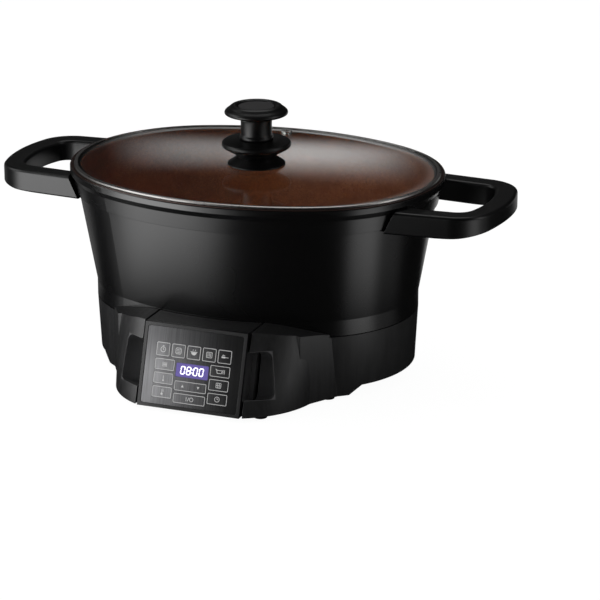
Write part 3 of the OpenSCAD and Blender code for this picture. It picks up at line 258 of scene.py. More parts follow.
# Metal flakes: cells that each have their own brightness
flakes, g_in, g_out = new_group(
    "metal flakes", [("Vector", VECTOR), ("Scale", FLOAT), ("Dark", COLOR), ("Light", COLOR)],
    [("Color", COLOR), ("Height", FLOAT)])
cells = node(flakes, "TexVoronoi", [("Vector", g_in.outputs["Vector"]),
                                    ("Scale", g_in.outputs["Scale"])])
chosen = node(flakes, "SeparateColor", [("Color", cells.outputs["Color"])])
cloud = node(flakes, "TexNoise", [("Vector", g_in.outputs["Vector"]), ("Scale", 60.0),
                                  ("Detail", 4.0)])
share = maths(flakes, "MULTIPLY", chosen.outputs[0], cloud.outputs[0])
share = maths(flakes, "MULTIPLY", share, 1.9)
flakes.links.new(blended(flakes, share, g_in.outputs["Dark"], g_in.outputs["Light"]),
                 g_out.inputs["Color"])
flakes.links.new(chosen.outputs[1], g_out.inputs["Height"])

# Turned rings: fine circles about a vertical axis, as a lathe leaves them
turned, g_in, g_out = new_group(
    "turned rings", [("Vector", VECTOR), ("Pitch", FLOAT)],
    [("Height", FLOAT), ("Value", FLOAT)])
split = node(turned, "SeparateXYZ", [(0, g_in.outputs["Vector"])])
flat = node(turned, "CombineXYZ", [(0, split.outputs[0]), (1, split.outputs[1])])
reach = node(turned, "VectorMath", [(0, flat.outputs[0])], operation="LENGTH")
wave = maths(turned, "SINE", maths(turned, "MULTIPLY", reach.outputs["Value"],
                                   g_in.outputs["Pitch"]))
ring_noise = node(turned, "TexNoise", [("W", reach.outputs["Value"]), ("Scale", 900.0),
                                       ("Detail", 2.0)], noise_dimensions="1D")
turned.links.new(wave, g_out.inputs["Height"])
turned.links.new(ring_noise.outputs[0], g_out.inputs["Value"])
print("groups:", [g.name for g in (moulded, streaks, flakes, turned)])

# %% [markdown]
# ## Finishes
# Each finish starts from one Principled shader. Edges of moulded and cast pieces are never
# knife sharp, and it is the thin light along them that shows their shape, so a Bevel node rounds
# the shading at each edge before the relief is added on top.


# %% Finish helpers
def finish(name, color, roughness, metallic=0.0, **sockets):
    """A material with its Principled shader, and an object-space vector to hang patterns on."""
    material = bpy.data.materials.new(name)
    material.use_nodes = True
    tree = material.node_tree
    shader = tree.nodes["Principled BSDF"]
    shader.inputs["Base Color"].default_value = (*color, 1)
    shader.inputs["Roughness"].default_value = roughness
    shader.inputs["Metallic"].default_value = metallic
    for key, value in sockets.items():
        shader.inputs[key.replace("_", " ")].default_value = value
    where = tree.nodes.new("ShaderNodeTexCoord").outputs["Object"]
    return material, tree, shader, where


def relief(tree, shader, height, depth, edge=0.0):
    """Bump from a height, over shading that is rounded at the edges by the given radius."""
    bump = node(tree, "Bump", [("Height", height), ("Distance", depth), ("Strength", 1.0)])
    if edge:
        rounded = node(tree, "Bevel", [("Radius", edge)], samples=6)
        tree.links.new(rounded.outputs[0], bump.inputs["Normal"])
    tree.links.new(bump.outputs[0], shader.inputs["Normal"])


def vary_gloss(tree, shader, effect, swing, level):
    """Roughness that rises from a level by a swing, as the effect's value goes from 0 to 1."""
    tree.links.new(maths(tree, "MULTIPLY_ADD", effect.outputs["Value"], swing, level),
                   shader.inputs["Roughness"])


def moulded_finish(name, color, gloss, scale=900.0, depth=0.00002, edge=0.0005, variation=0.1,
                   metallic=0.0, **sockets):
    """Moulded or coated surface with fine relief and slow changes in gloss."""
    material, tree, shader, where = finish(name, color, gloss, metallic, **sockets)
    made = use_group(tree, moulded, [("Vector", where), ("Scale", scale), ("Gloss", gloss),
                                     ("Variation", variation)])
    tree.links.new(made.outputs["Roughness"], shader.inputs["Roughness"])
    relief(tree, shader, made.outputs["Height"], depth, edge)
    return material


def stretched(tree, where, scale, turn=0.0):
    """Object coordinates with their own scale along each axis, for streaks."""
    return node(tree, "Mapping", [("Vector", where), ("Scale", scale),
                                  ("Rotation", (turn, 0, 0))]).outputs[0]


# %% Satin black coat of the pot
pot_coat = moulded_finish("satin pot coat", (0.003, 0.003, 0.0032), 0.27, 1400.0, 0.000008,
                          0.0005, 0.04)

# %% Copper-brown lining with fine metal flakes
lining, tree, shader, where = finish("copper flake lining", (0.2, 0.07, 0.03), 0.42, 0.6)
flake = use_group(tree, flakes, [("Vector", where), ("Scale", 1500.0),
                                 ("Dark", (0.22, 0.068, 0.026, 1)),
                                 ("Light", (0.44, 0.145, 0.056, 1))])
height = node(tree, "SeparateXYZ", [(0, where)]).outputs[2]
LIP_LOW, LIP_TOP = 181.5 * MM, 183.5 * MM      # the lining darkens between these heights
lip = smooth_step(tree, height, LIP_LOW, LIP_TOP)
edge_tone = blended(tree, lip, flake.outputs["Color"], (0.03, 0.012, 0.008, 1))
tree.links.new(edge_tone, shader.inputs["Base Color"])
relief(tree, shader, flake.outputs["Height"], 0.00001)

# %% Plastics
handle_plastic = moulded_finish("satin handle plastic", (0.0025, 0.0025, 0.0027), 0.36, 1100.0,
                                0.00002, 0.0007, Specular_IOR_Level=0.42)
insert_plastic = moulded_finish("grey knob insert", (0.03, 0.029, 0.03), 0.42, 1500.0,
                                0.000015, 0.0003)
rubber = moulded_finish("soft black rubber", (0.01, 0.01, 0.01), 0.8, 700.0, 0.00004, 0.0004)
frame_plastic = moulded_finish("semi-gloss frame plastic", (0.006, 0.006, 0.0065), 0.28, 1300.0,
                               0.00001, 0.0004)

# %% Base plastic with faint upright streaks, as on the photographed base, and painted light in its finger recesses
base_plastic, tree, shader, where = finish("streaked base plastic", (0.008, 0.008, 0.0085), 0.36)
drawn = use_group(tree, streaks, [("Vector", stretched(tree, where, (420, 420, 9)))])
tone = blended(tree, drawn.outputs["Value"], (0.011, 0.011, 0.0115, 1),
               (0.019, 0.019, 0.0195, 1))
# The finger recesses are painted paler, as painted light in place of the light they catch: they lie
# within 26 mm of two slanting axes that are 42 mm long
RECESS_AT = (47.2 * MM, -131.7 * MM, 36.9 * MM)
RECESS_OUT, RECESS_SIDE = (0, -0.953, 0.304), (0.985, 0.053, 0.165)
RECESS_AXIS = (-0.174, 0.299, 0.938)
split = node(tree, "SeparateXYZ", [(0, where)])
mirrored = node(tree, "CombineXYZ", [(0, maths(tree, "ABSOLUTE", split.outputs[0])),
                                     (1, split.outputs[1]), (2, split.outputs[2])])
from_axis = node(tree, "VectorMath", [(0, mirrored.outputs[0]), (1, RECESS_AT)],
                 operation="SUBTRACT").outputs[0]
out, aside, along = [node(tree, "VectorMath", [(0, from_axis), (1, way)],
                          operation="DOT_PRODUCT").outputs["Value"]
                     for way in (RECESS_OUT, RECESS_SIDE, RECESS_AXIS)]
away = maths(tree, "SQRT", maths(tree, "ADD", maths(tree, "MULTIPLY", out, out),
                                 maths(tree, "MULTIPLY", aside, aside)))
near = ramp(tree, away, 26.6 * MM, 26.2 * MM)
within = ramp(tree, maths(tree, "ABSOLUTE", along), 21.5 * MM, 21.2 * MM)
recess_painted_light = maths(tree, "MULTIPLY", near, within)
# Painted light: the recesses take a paler grey than the rest of the base
tree.links.new(blended(tree, recess_painted_light, tone, (0.07, 0.07, 0.072, 1)),
               shader.inputs["Base Color"])
vary_gloss(tree, shader, drawn, 0.14, 0.32)
relief(tree, shader, drawn.outputs["Height"], 0.00003, 0.0006)

# %% Steel, bright sheet, heat-darkened tube and turned plate
def metal_finish(name, color, roughness, scale, tint=0.85):
    """Metal whose gloss and tone vary in fine noise, which the scale may draw out to streaks."""
    material, tree, shader, where = finish(name, color, roughness, 1.0)
    fine = use_group(tree, streaks, [("Vector", stretched(tree, where, scale))])
    dark = tuple(c * tint for c in color)
    tree.links.new(blended(tree, fine.outputs["Value"], (*dark, 1), (*color, 1)),
                   shader.inputs["Base Color"])
    vary_gloss(tree, shader, fine, 0.12, roughness)
    relief(tree, shader, fine.outputs["Height"], 0.000008)
    return material


steel = metal_finish("bright steel", (0.72, 0.71, 0.69), 0.16, (300, 300, 300))
ring_steel = metal_finish("satin ring steel", (0.4, 0.39, 0.38), 0.26, (300, 300, 300))
sheet_steel = metal_finish("reflector sheet", (0.74, 0.73, 0.71), 0.2, (30, 600, 600))
element_steel = metal_finish("heat-darkened tube", (0.2, 0.17, 0.15), 0.4, (500, 500, 60), 0.5)

plate_metal, tree, shader, where = finish("turned aluminium", (0.6, 0.6, 0.61), 0.34, 1.0)
centred_on_axis = node(tree, "Mapping", [("Vector", where),
                                         ("Location", (0, -POT_AXIS_Y, 0))]).outputs[0]
rings = use_group(tree, turned, [("Vector", centred_on_axis), ("Pitch", 5200.0)])
vary_gloss(tree, shader, rings, 0.2, 0.22)
relief(tree, shader, rings.outputs["Height"], 0.00001)

# %% Glass with a faint green body, and the finishes of the inner parts
glass = bpy.data.materials.new("tempered glass")
glass.use_nodes = True
shader = glass.node_tree.nodes["Principled BSDF"]
for key, value in (("Base Color", (0.93, 0.97, 0.95, 1)), ("Roughness", 0.015),
                   ("IOR", 1.47), ("Transmission Weight", 1.0)):
    shader.inputs[key].default_value = value
where = glass.node_tree.nodes.new("ShaderNodeTexCoord").outputs["Object"]
made = use_group(glass.node_tree, moulded, [("Vector", where), ("Scale", 6.0), ("Gloss", 0.015),
                                            ("Variation", 0.01)])
glass.node_tree.links.new(made.outputs["Roughness"], shader.inputs["Roughness"])

board_green = moulded_finish("circuit board", (0.03, 0.16, 0.07), 0.35, 300.0, 0.00002, 0.0)
relay_blue = moulded_finish("relay case", (0.05, 0.14, 0.42), 0.3, 700.0, 0.00001, 0.0003)
coil_tape = moulded_finish("yellow coil tape", (0.6, 0.42, 0.06), 0.4, 90.0, 0.0001, 0.0003)
switch_white = moulded_finish("small switch plastic", (0.75, 0.75, 0.72), 0.4, 800.0, 0.00001,
                              0.0002)
ceramic = moulded_finish("fuse ceramic", (0.7, 0.66, 0.55), 0.5, 500.0, 0.00003, 0.0002)
wire_red = moulded_finish("red wire sleeve", (0.36, 0.02, 0.015), 0.42, 600.0, 0.00002, 0.0)
display_black = moulded_finish("display block", (0.02, 0.02, 0.025), 0.5, 700.0, 0.00001, 0.0002)

# %% [markdown]
# ## The control panel's film
# On the real cooker the panel is a printed film with a brushed look, in which each key is a
# slightly paler field with an outline. Film and keys share one recipe, whose streaks run up the
# leaning panel, so the coordinates are turned by the panel's lean before they are stretched.

# %% Film finish
LEAN = math.radians(17.7)
PANEL_HALF = 46 * MM
FADE_LOW, FADE_TOP = 30 * MM, 72 * MM       # painted shade: the film darkens upwards between these heights


def film_finish(name, lightness):
    """Brushed film with painted light and shade: its colour fades from a pale lower left corner to
    near black at the right, and darkens upwards.
    """
    material, tree, shader, where = finish(name, (0.1, 0.1, 0.103), 0.34, 0.8)
    brushed = use_group(tree, streaks, [("Vector", stretched(tree, where, (900, 16, 16), LEAN))])
    split = node(tree, "SeparateXYZ", [(0, where)])
    across = node(tree, "MapRange", [("Value", split.outputs[0]), ("From Min", -1.2 * PANEL_HALF),
                                     ("From Max", PANEL_HALF), ("To Min", 1.8 * lightness),
                                     ("To Max", 0.14 * lightness)],
                  interpolation_type="SMOOTHSTEP").outputs[0]
    upward = node(tree, "MapRange", [("Value", split.outputs[2]), ("From Min", FADE_LOW),
                                     ("From Max", FADE_TOP), ("To Min", 1.0), ("To Max", 0.5)],
                  interpolation_type="SMOOTHSTEP").outputs[0]
    # Painted light and shade: the film's colour is made paler at the lower left and darker to the
    # right and upwards
    painted_light_fade = maths(tree, "MULTIPLY", across, upward)
    level = maths(tree, "MULTIPLY", painted_light_fade, maths(tree, "MULTIPLY_ADD", brushed.outputs["Value"],
                                                0.055, 0.07))
    tone = node(tree, "CombineColor", [(0, level), (1, level),
                                       (2, maths(tree, "MULTIPLY", level, 1.03))])
    tree.links.new(tone.outputs[0], shader.inputs["Base Color"])
    vary_gloss(tree, shader, brushed, 0.1, 0.28)
    relief(tree, shader, brushed.outputs["Height"], 0.00001, 0.0002)
    return material


film, key_film = film_finish("brushed film", 1.0), film_finish("brushed key film", 1.35)

print_ink = moulded_finish("pale printed ink", (0.62, 0.62, 0.62), 0.5, 900.0, 0.000005, 0.0)

# %% Display: a violet window with white segments
def glowing_finish(name, color, gloss, grain, dim, bright, strength):
    """A surface that gives its own light, a little uneven between two colours."""
    material, tree, shader, where = finish(name, color, gloss)
    uneven = node(tree, "TexNoise", [("Vector", where), ("Scale", grain), ("Detail", 1.0)])
    tree.links.new(blended(tree, uneven.outputs[0], (*dim, 1), (*bright, 1)),
                   shader.inputs["Emission Color"])
    shader.inputs["Emission Strength"].default_value = strength
    return material


window_violet = glowing_finish("violet display window", (0.035, 0.03, 0.09), 0.22, 260.0,
                               (0.075, 0.055, 0.22), (0.12, 0.09, 0.32), 1.0)
segment_light = glowing_finish("lit segments", (0.8, 0.8, 0.9), 0.4, 900.0,
                               (0.86, 0.84, 1.0), (1.0, 1.0, 1.0), 1.6)
print("finishes:", len(bpy.data.materials))

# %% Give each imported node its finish
finishes = {
    pot_coat: "pot_body", lining: "pot_coating",
    handle_plastic: "handle_left handle_right knob_seat knob_guard knob_grip",
    insert_plastic: "knob_insert", rubber: "knob_gasket rubber_feet cord_gland",
    ring_steel: "lid_ring",
    steel: "handle_screws vent_eyelet knob_screw cover_screws frame_screws plate_posts "
           "sensor_guide sensor_spring",
    sheet_steel: "reflector_pan", element_steel: "heating_element",
    plate_metal: "heating_plate sensor_plunger", glass: "lid_glass",
    base_plastic: "base_housing bottom_cover control_housing",
    frame_plastic: "control_frame base_socket control_plug",
    ceramic: "thermal_fuse", board_green: "power_board control_board", relay_blue: "power_relay",
    coil_tape: "power_transformer", wire_red: "base_wiring", film: "control_film",
    window_violet: "display_window", display_black: "display_module",
    switch_white: "key_switches",
}
keys = [n for n in cad_nodes if n.startswith("key_") and n != "key_switches"]
finishes[key_film] = " ".join(keys)
for material, names in finishes.items():
    for name in names.split():
        cad_nodes[name].data.materials.clear()
        cad_nodes[name].data.materials.append(material)
print("dressed:", sum(len(v.split()) for v in finishes.values()), "of", len(cad_nodes))

# %% [markdown]
# ## Printed outlines and pictograms
# Every key is printed with a thin pale frame and a small picture. Ink could be painted by a
# shader, but as thin raised lines it survives in the exported meshes, and each print can ride on
# its own key. A line is a flat profile carried along a path in panel coordinates: across, and up
# the slope.

# %% Panel coordinates
PANEL_FRONT, PANEL_FOOT = -163.2 * MM + POT_AXIS_Y, 4 * MM
ACROSS = np.array([1.0, 0.0, 0.0])
UPSLOPE = np.array([0.0, math.sin(LEAN), math.cos(LEAN)])
OUTWARD = np.array([0.0, -math.cos(LEAN), math.sin(LEAN)])


def on_panel(points, out):
    """Frame coordinates of panel points in millimetres, raised out of the face by out."""
    points = np.asarray(points, float) * MM
    return (np.array([0, PANEL_FRONT, PANEL_FOOT]) + points[:, :1] * ACROSS
            + points[:, 1:2] * UPSLOPE + out * MM * OUTWARD)


def arc(centre, radius, start, end, steps=16):
    """Points of an arc: centre plus radius times cosine and sine, with angles in degrees."""
    a = np.radians(np.linspace(start, end, steps))
    return np.stack([centre[0] + radius * np.cos(a), centre[1] + radius * np.sin(a)], 1)


def round_box(width, height, radius):
    """Outline of a box about its middle, with a quarter arc at each corner."""
    x, y = width / 2 - radius, height / 2 - radius
    corners = [((x, y), 0), ((-x, y), 90), ((-x, -y), 180), ((x, -y), 270)]
    return np.vstack([arc(c, radius, a, a + 90, 6) for c, a in corners])


# Millimetres out of the frame's front face: the keys' faces and the display's window
KEY_FACE, WINDOW_FACE = -0.25, -0.5
# Ink starts a little below the face that it lies on and stands a little above it
INK_ROOT, INK_HEIGHT, DIGIT_HEIGHT = 0.02, 0.07, 0.08


def ink_line(points, centre, width, closed=False):
    """A flat line of ink along panel points about a centre, all in millimetres."""
    path = on_panel(np.asarray(points, float) + centre, KEY_FACE)
    half, low, high = width * MM / 2, -INK_ROOT * MM, INK_HEIGHT * MM
    profile = np.array([[-half, low], [half, low], [half, high], [-half, high]])
    return swept(path, profile, closed, square_to=OUTWARD)


def ink_patch(points, centre, base=KEY_FACE, height=INK_HEIGHT):
    """A filled patch of ink inside a convex outline: a wall around it and a face at each end."""
    ring = np.asarray(points, float) + centre
    low, high = on_panel(ring, base - INK_ROOT), on_panel(ring, base + height)
    n = len(ring)
    faces = [[int(i) for i in f] for f in grid_faces(2, n, False, True)]
    return np.vstack([low, high]), faces + [list(range(n)), list(range(n, 2 * n))]


# %% Key layout: middle and size of each key on the panel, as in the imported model
TOP_W, TOP_H, SIDE_W, SIDE_H, MID_W, MID_H = 13.36, 12.5, 19.3, 10.4, 31.0, 9.1
key_places = {f"key_top_{i + 1}": ((i - 2) * 14.76, 52.15, TOP_W, TOP_H) for i in range(5)}
for i in range(3):
    height = 38.8 - i * 12.3
    key_places[f"key_left_{i + 1}"] = (-26.55, height, SIDE_W, SIDE_H)
    key_places[f"key_right_{i + 1}"] = (26.55, height, SIDE_W, SIDE_H)
key_places["key_up_down"] = (0, 21.75, MID_W, MID_H)
key_places["key_power"] = (0, 10.75, MID_W, MID_H)
INK, INK_INSET, INK_CORNER = 0.5, 0.55, 0.9     # width of a line, and the frame of a key


def line(*points):
    """An open stroke through points."""
    return "line", np.array(points, float)


def loop(points):
    """A closed stroke through points."""
    return "loop", np.asarray(points, float)


def patch(points):
    """A filled outline."""
    return "patch", np.asarray(points, float)


def disc(x, y, r):
    """A filled circle."""
    return patch(arc((x, y), r, 0, 342, 20))


pictograms = {
    # clock with a stem, steamer holes, steaming bowl, oven bars, pan with a lid and a handle
    "key_top_1": [loop(arc((0, -0.3), 2.3, 0, 345, 24)), line((0, -0.3), (0, 1.2)),
                  line((0, -0.3), (1, -0.9)), line((-0.8, 2.9), (0.8, 2.9))],
    "key_top_2": [loop(round_box(5.2, 5.2, 1.2))] + [disc(x, y, 0.42) for x in (-1.3, 0, 1.3)
                                                     for y in (-1.3, 0, 1.3)],
    "key_top_3": [patch(arc((0, 0.5), 2.6, 180, 360, 14)),
                  line((-3.3, 0.9), (3.3, 0.9)), line((-1.2, 1.9), (-0.8, 3)),
                  line((1, 1.9), (1.4, 3))],
    "key_top_4": [loop(round_box(5.2, 4.8, 0.6)), line((-1.3, -1.6), (-1.3, 1.6)),
                  line((0, -1.6), (0, 1.6)), line((1.3, -1.6), (1.3, 1.6))],
    "key_top_5": [patch(round_box(3.6, 1.5, 0.5) + (-1.2, -0.4)), line((0.6, -0.4), (3.6, -0.4)),
                  line((-2.6, 1.2), (0.2, 1.2)), line((-1.2, 1.2), (-1.2, 2))],
    # crossed bars, thermometer, thermometer with marks
    "key_left_1": [line((-1.8, -2), (-1.8, 2)), line((-0.6, -2), (-0.6, 2)),
                   line((0.6, -2), (0.6, 2)), line((1.8, -2), (1.8, 2)), line((-1.8, 0), (1.8, 0))],
    "key_left_2": [line((0, -1.2), (0, 2.4)), disc(0, -1.9, 0.75)],
    "key_left_3": [line((0, -1), (0, 2.4)), disc(0, -1.6, 1.05), line((0.8, 1.8), (1.6, 1.8)),
                   line((0.8, 0.8), (1.6, 0.8))],
    # pan beside two bars, divided tray, clock; below them the two arrows and the I/O sign
    "key_right_1": [line((-4.4, 1.8), (-3.4, 1.8), (-2.6, -1.6), (1.4, -1.6), (2.1, 1),
                         (-3, 1)), line((2.9, -1.8), (2.9, 1.8)), line((4.2, -1.8), (4.2, 1.8))],
    "key_right_2": [loop(round_box(4.6, 4.2, 0.5)), line((-2.3, 0), (2.3, 0)),
                    line((-0.8, -2.1), (-0.8, 2.1)), line((0.8, -2.1), (0.8, 2.1))],
    "key_right_3": [loop(arc((0, 0), 2.2, 0, 345, 24)), line((0, 0), (0, 1.4)),
                    line((0, 0), (1.1, 0))],
    "key_up_down": [patch([(-8.8, -1.1), (-6.2, -1.1), (-7.5, 1.2)]),
                    patch([(6.2, 1.1), (8.8, 1.1), (7.5, -1.2)])],
    "key_power": [line((-2.6, -1.7), (-2.6, 1.7)), line((-1.3, -1.7), (0.1, 1.7)),
                  loop(arc((2.3, 0), 1.7, 0, 345, 22))],
}

# %% Print each key: its frame and its picture, riding on the key
for name, (x, y, width, height) in key_places.items():
    centre = np.array([x, y])
    frame_box = round_box(width - 2 * INK_INSET, height - 2 * INK_INSET, INK_CORNER)
    parts = [ink_line(frame_box, centre, INK, True)]
    for kind, points in pictograms[name]:
        if kind == "patch":
            parts.append(ink_patch(points, centre))
        else:
            parts.append(ink_line(points, centre, INK, kind == "loop"))
    piece(name.replace("key_", "print_"), parts, name, print_ink, False)
print("printed keys:", len(key_places))

# %% [markdown]
# ## The lit digits
# The display reads 08:00. Each segment is a flat bar with pointed ends, so one function places a
# hexagon for any of the seven segments, leaning a little like real ones.

# %% Digits of seven segments
DISPLAY_AT = np.array([0.0, 35.75])
DIGIT_W, DIGIT_H, DIGIT_STEP, BAR = 3.5, 6.6, 5.6, 0.85
SLANT, COLON_ROOM, COLON_Y, DOT, BAR_GAP = 0.1, 0.4, 1.3, 0.8, 0.12
segment_ends = {"a": ((0, 1), (1, 1)), "b": ((1, 1), (1, .5)), "c": ((1, .5), (1, 0)),
                "d": ((0, 0), (1, 0)), "e": ((0, .5), (0, 0)), "f": ((0, 1), (0, .5)),
                "g": ((0, .5), (1, .5))}


def bar(start, end):
    """Outline of a bar with pointed ends from start to end."""
    start, end = np.array(start, float), np.array(end, float)
    along = (end - start) / np.linalg.norm(end - start)
    side = np.array([-along[1], along[0]]) * BAR / 2
    start, end = start + along * BAR_GAP, end - along * BAR_GAP
    inner, outer = start + along * BAR / 2, end - along * BAR / 2
    return np.array([start, inner + side, outer + side, end, outer - side, inner - side])


def leaned(points):
    """Moves points sideways by their height, as italic digits lean."""
    points = np.asarray(points, float)
    return np.stack([points[:, 0] + SLANT * points[:, 1], points[:, 1]], 1)


digit_parts = []
for place_index, shown in enumerate(["abcdef", "abcdefg", "abcdef", "abcdef"]):
    aside = COLON_ROOM if place_index > 1 else -COLON_ROOM
    left = (place_index - 1.5) * DIGIT_STEP - DIGIT_W / 2 + aside
    for letter in shown:
        ends = [(left + u * DIGIT_W, (v - 0.5) * DIGIT_H) for u, v in segment_ends[letter]]
        digit_parts.append(ink_patch(leaned(bar(*ends)), DISPLAY_AT, WINDOW_FACE, DIGIT_HEIGHT))
for y in (-COLON_Y, COLON_Y):
    dot = leaned(round_box(DOT, DOT, DOT / 4) + (0, y))
    digit_parts.append(ink_patch(dot, DISPLAY_AT, WINDOW_FACE, DIGIT_HEIGHT))
digits = piece("display_digits", digit_parts, "control_unit", segment_light, False)
print("bars and dots:", len(digit_parts))

# %% [markdown]
# ## The glass dome
# Tempered lid glass is drawn over a form while soft, so its top is one smooth shallow dome. The
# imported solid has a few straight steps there, which a mirror-like surface would show as rings.
# The dome here is one function of two parameters: the angle around the oval, and the share of
# the way from the middle to the rim.

# %% Oval outline and dome
END_X, SIDE_Y, END_R, SIDE_R = 50.4 * MM, 107.8 * MM, 124.6 * MM, 243.6 * MM


def oval(inset, steps):
    """Outline of the pot's oval, moved in by an inset: four arcs that meet smoothly."""
    turn = math.degrees(math.atan2(SIDE_Y, END_X))
    end = [(a, (END_X, 0), END_R - inset) for a in np.linspace(-turn, turn, steps, False)]
    side = [(a, (0, -SIDE_Y), SIDE_R - inset)
            for a in np.linspace(turn, 180 - turn, steps, False)]
    a, centre, r = (np.array(v, float) for v in zip(*(end + side)))
    a = np.radians(a)
    half = np.stack([centre[:, 0] + r * np.cos(a), centre[:, 1] + r * np.sin(a)], 1)
    return np.vstack([half, -half])


GLASS_LOW, GLASS_T, GLASS_RISE, GLASS_INSET = 183.6 * MM, 3.4 * MM, 1.6 * MM, 4.75 * MM
FLAT_SHARE = 0.93           # outside this share of the radius the glass is flat
edge = oval(GLASS_INSET, 48)
shares = np.linspace(0, 1, 41) ** 0.8
rise = GLASS_RISE * np.clip(1 - (shares / FLAT_SHARE) ** 2, 0, 1)
ROUND = 0.5 * MM
ROUND_SHARE = ROUND / 0.13  # the rounding as a share of a middle radius of the oval


def glass_sheet(height):
    """One face of the glass: the outline shrunk by each share, lifted by the dome."""
    shrink = (1 - ROUND_SHARE * (shares > 0.999))[:, None, None] * shares[:, None, None]
    flat_points = edge[None] * shrink
    z = np.broadcast_to((height + rise)[:, None, None], flat_points.shape[:2] + (1,))
    return np.concatenate([flat_points, z], 2)


top_face, low_face = glass_sheet(GLASS_LOW + GLASS_T), glass_sheet(GLASS_LOW)
around = np.linspace(90, -90, 7)[1:-1]
rim_rings = np.array([np.column_stack([edge * (1 - ROUND_SHARE * (1 - math.cos(math.radians(a)))),
                                       np.full(len(edge), GLASS_LOW + GLASS_T / 2
                                               + GLASS_T / 2 * math.sin(math.radians(a)))])
                      for a in around])
shell_grid = np.concatenate([top_face, rim_rings, low_face[::-1]], 0)
shell_grid[..., 1] += POT_AXIS_Y
dome = piece("lid_glass_dome",
             [(shell_grid.reshape(-1, 3), grid_faces(*shell_grid.shape[:2], False, True))],
             "lid", glass)
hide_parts("lid_glass")
print("dome height", round(float(shell_grid[..., 2].max() - shell_grid[..., 2].min()) / MM, 2))

# %% [markdown]
# ## The knob
# The knob's guard and grip are turned shapes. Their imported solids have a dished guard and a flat
# cap, while the photograph shows a guard with a crowned top, a stem with a tall collar and a
# domed cap. Each section is a list of shares of the radius and height, whose corners are cut
# twice before it is turned, so that no edge that shows is left sharp.


# %% Turned knob
def eased(points, rounds=2):
    """Cuts the corners of an open outline: each edge from a to b gives the points at a quarter,
    (3a + b) / 4, and at three quarters, (a + 3b) / 4. Both ends stay."""
    points = np.asarray(points, float)
    for _ in range(rounds):
        a, b = points[:-1], points[1:]
        inner = np.stack([0.75 * a + 0.25 * b, 0.25 * a + 0.75 * b], 1).reshape(-1, 2)
        points = np.vstack([points[:1], inner[1:-1], points[-1:]])
    return points


def turned_part(section, sides=160):
    """Points and faces of a closed section, in millimetres of radius and height, turned once
    around the pot's axis."""
    a = np.linspace(0, 2 * math.pi, sides, endpoint=False)
    section = np.asarray(section, float) * MM
    grid = np.stack([section[:, :1] * np.cos(a), section[:, :1] * np.sin(a) + POT_AXIS_Y,
                     np.broadcast_to(section[:, 1:], (len(section), sides))], 2)
    return grid.reshape(-1, 3), grid_faces(len(section), sides, True, True)


GUARD_LOW, GUARD_R, GUARD_H, BORE_R = 195.8, 31.7, 14.4, 2.6
CROWN = 1.1
guard_rim = eased([(0.558, 0.1), (0.93, 0.58), (0.985, 0.66), (1, 0.75), (1, 0.86), (0.985, 0.94),
                   (0.95, 0.99), (0.9, 1), (0.55, CROWN)])
guard_outline = np.vstack([[(0.558, 0)], guard_rim]) * [GUARD_R, GUARD_H] + [0, GUARD_LOW]
CROWN_Z = GUARD_LOW + CROWN * GUARD_H
guard = piece("knob_guard_crowned", [turned_part(np.vstack([
    [(BORE_R, GUARD_LOW)], guard_outline, [(BORE_R, CROWN_Z)]]))], "lid", handle_plastic)
GRIP_R, GRIP_TOP, CAP_H, STEM_R, COLLAR, COLLAR_H = 29.0, 244.0, 10.0, 14.2, 1.2, 3.6
INSERT_R, INSERT_LOW = 16.45, 241.1
cap = np.array([(0.52, -0.16), (0.56, -0.04), (0.66, 0), (0.82, 0.02), (0.95, 0.12), (0.99, 0.2),
                (1, 0.3), (0.99, 0.42), (0.96, 0.53), (0.91, 0.64), (0.865, 0.73), (0.83, 0.83),
                (0.79, 0.93), (0.74, 0.99), (0.7, 1), (0.64, 0.97), (0.605, 0.88)])
cap_z = GRIP_TOP - CAP_H
stem = [(STEM_R + COLLAR, CROWN_Z), (STEM_R + COLLAR, CROWN_Z + COLLAR_H),
        (STEM_R, CROWN_Z + COLLAR_H + COLLAR / 2), (STEM_R, cap_z - COLLAR_H)]
outline = eased(np.vstack([stem, cap * [GRIP_R, CAP_H] + [0, cap_z]]))
grip = piece("knob_grip_domed", [turned_part(np.vstack([
    [(BORE_R, CROWN_Z)], outline, [(INSERT_R, INSERT_LOW), (BORE_R, INSERT_LOW)]]))],
    "lid", handle_plastic)
for made, packed in ((guard, "knob_guard"), (grip, "knob_grip")):
    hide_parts(packed)
print("knob top", round(float(outline[:, 1].max()), 1))

# %% [markdown]
# ## Inner pieces that bend
# The imported spring is a coil of few steps with cut ends, and the imported wires run straight from
# bend to bend. A finer helix with flattened ends and wires on smooth routes take their places.

# %% Sensor spring
SPRING_R, SPRING_WIRE, SPRING_FOOT, SPRING_H, TURNS = 5.85, 0.55, 36.75, 11.0, 5
t = np.linspace(0, 1, TURNS * 48)
climb = np.clip((t * TURNS - 0.75) / (TURNS - 1.5), 0, 1)
helix = np.stack([SPRING_R * np.cos(2 * math.pi * TURNS * t),
                  SPRING_R * np.sin(2 * math.pi * TURNS * t),
                  SPRING_FOOT + SPRING_H * climb], 1) * MM + [0, POT_AXIS_Y, 0]
spring = piece("sensor_coil", [swept(helix, circle_profile(SPRING_WIRE * MM, 10), False)],
               "base", steel)
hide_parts("sensor_spring")
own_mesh(spring)

# %% Wires inside the base
WIRE_R = 1.1 * MM


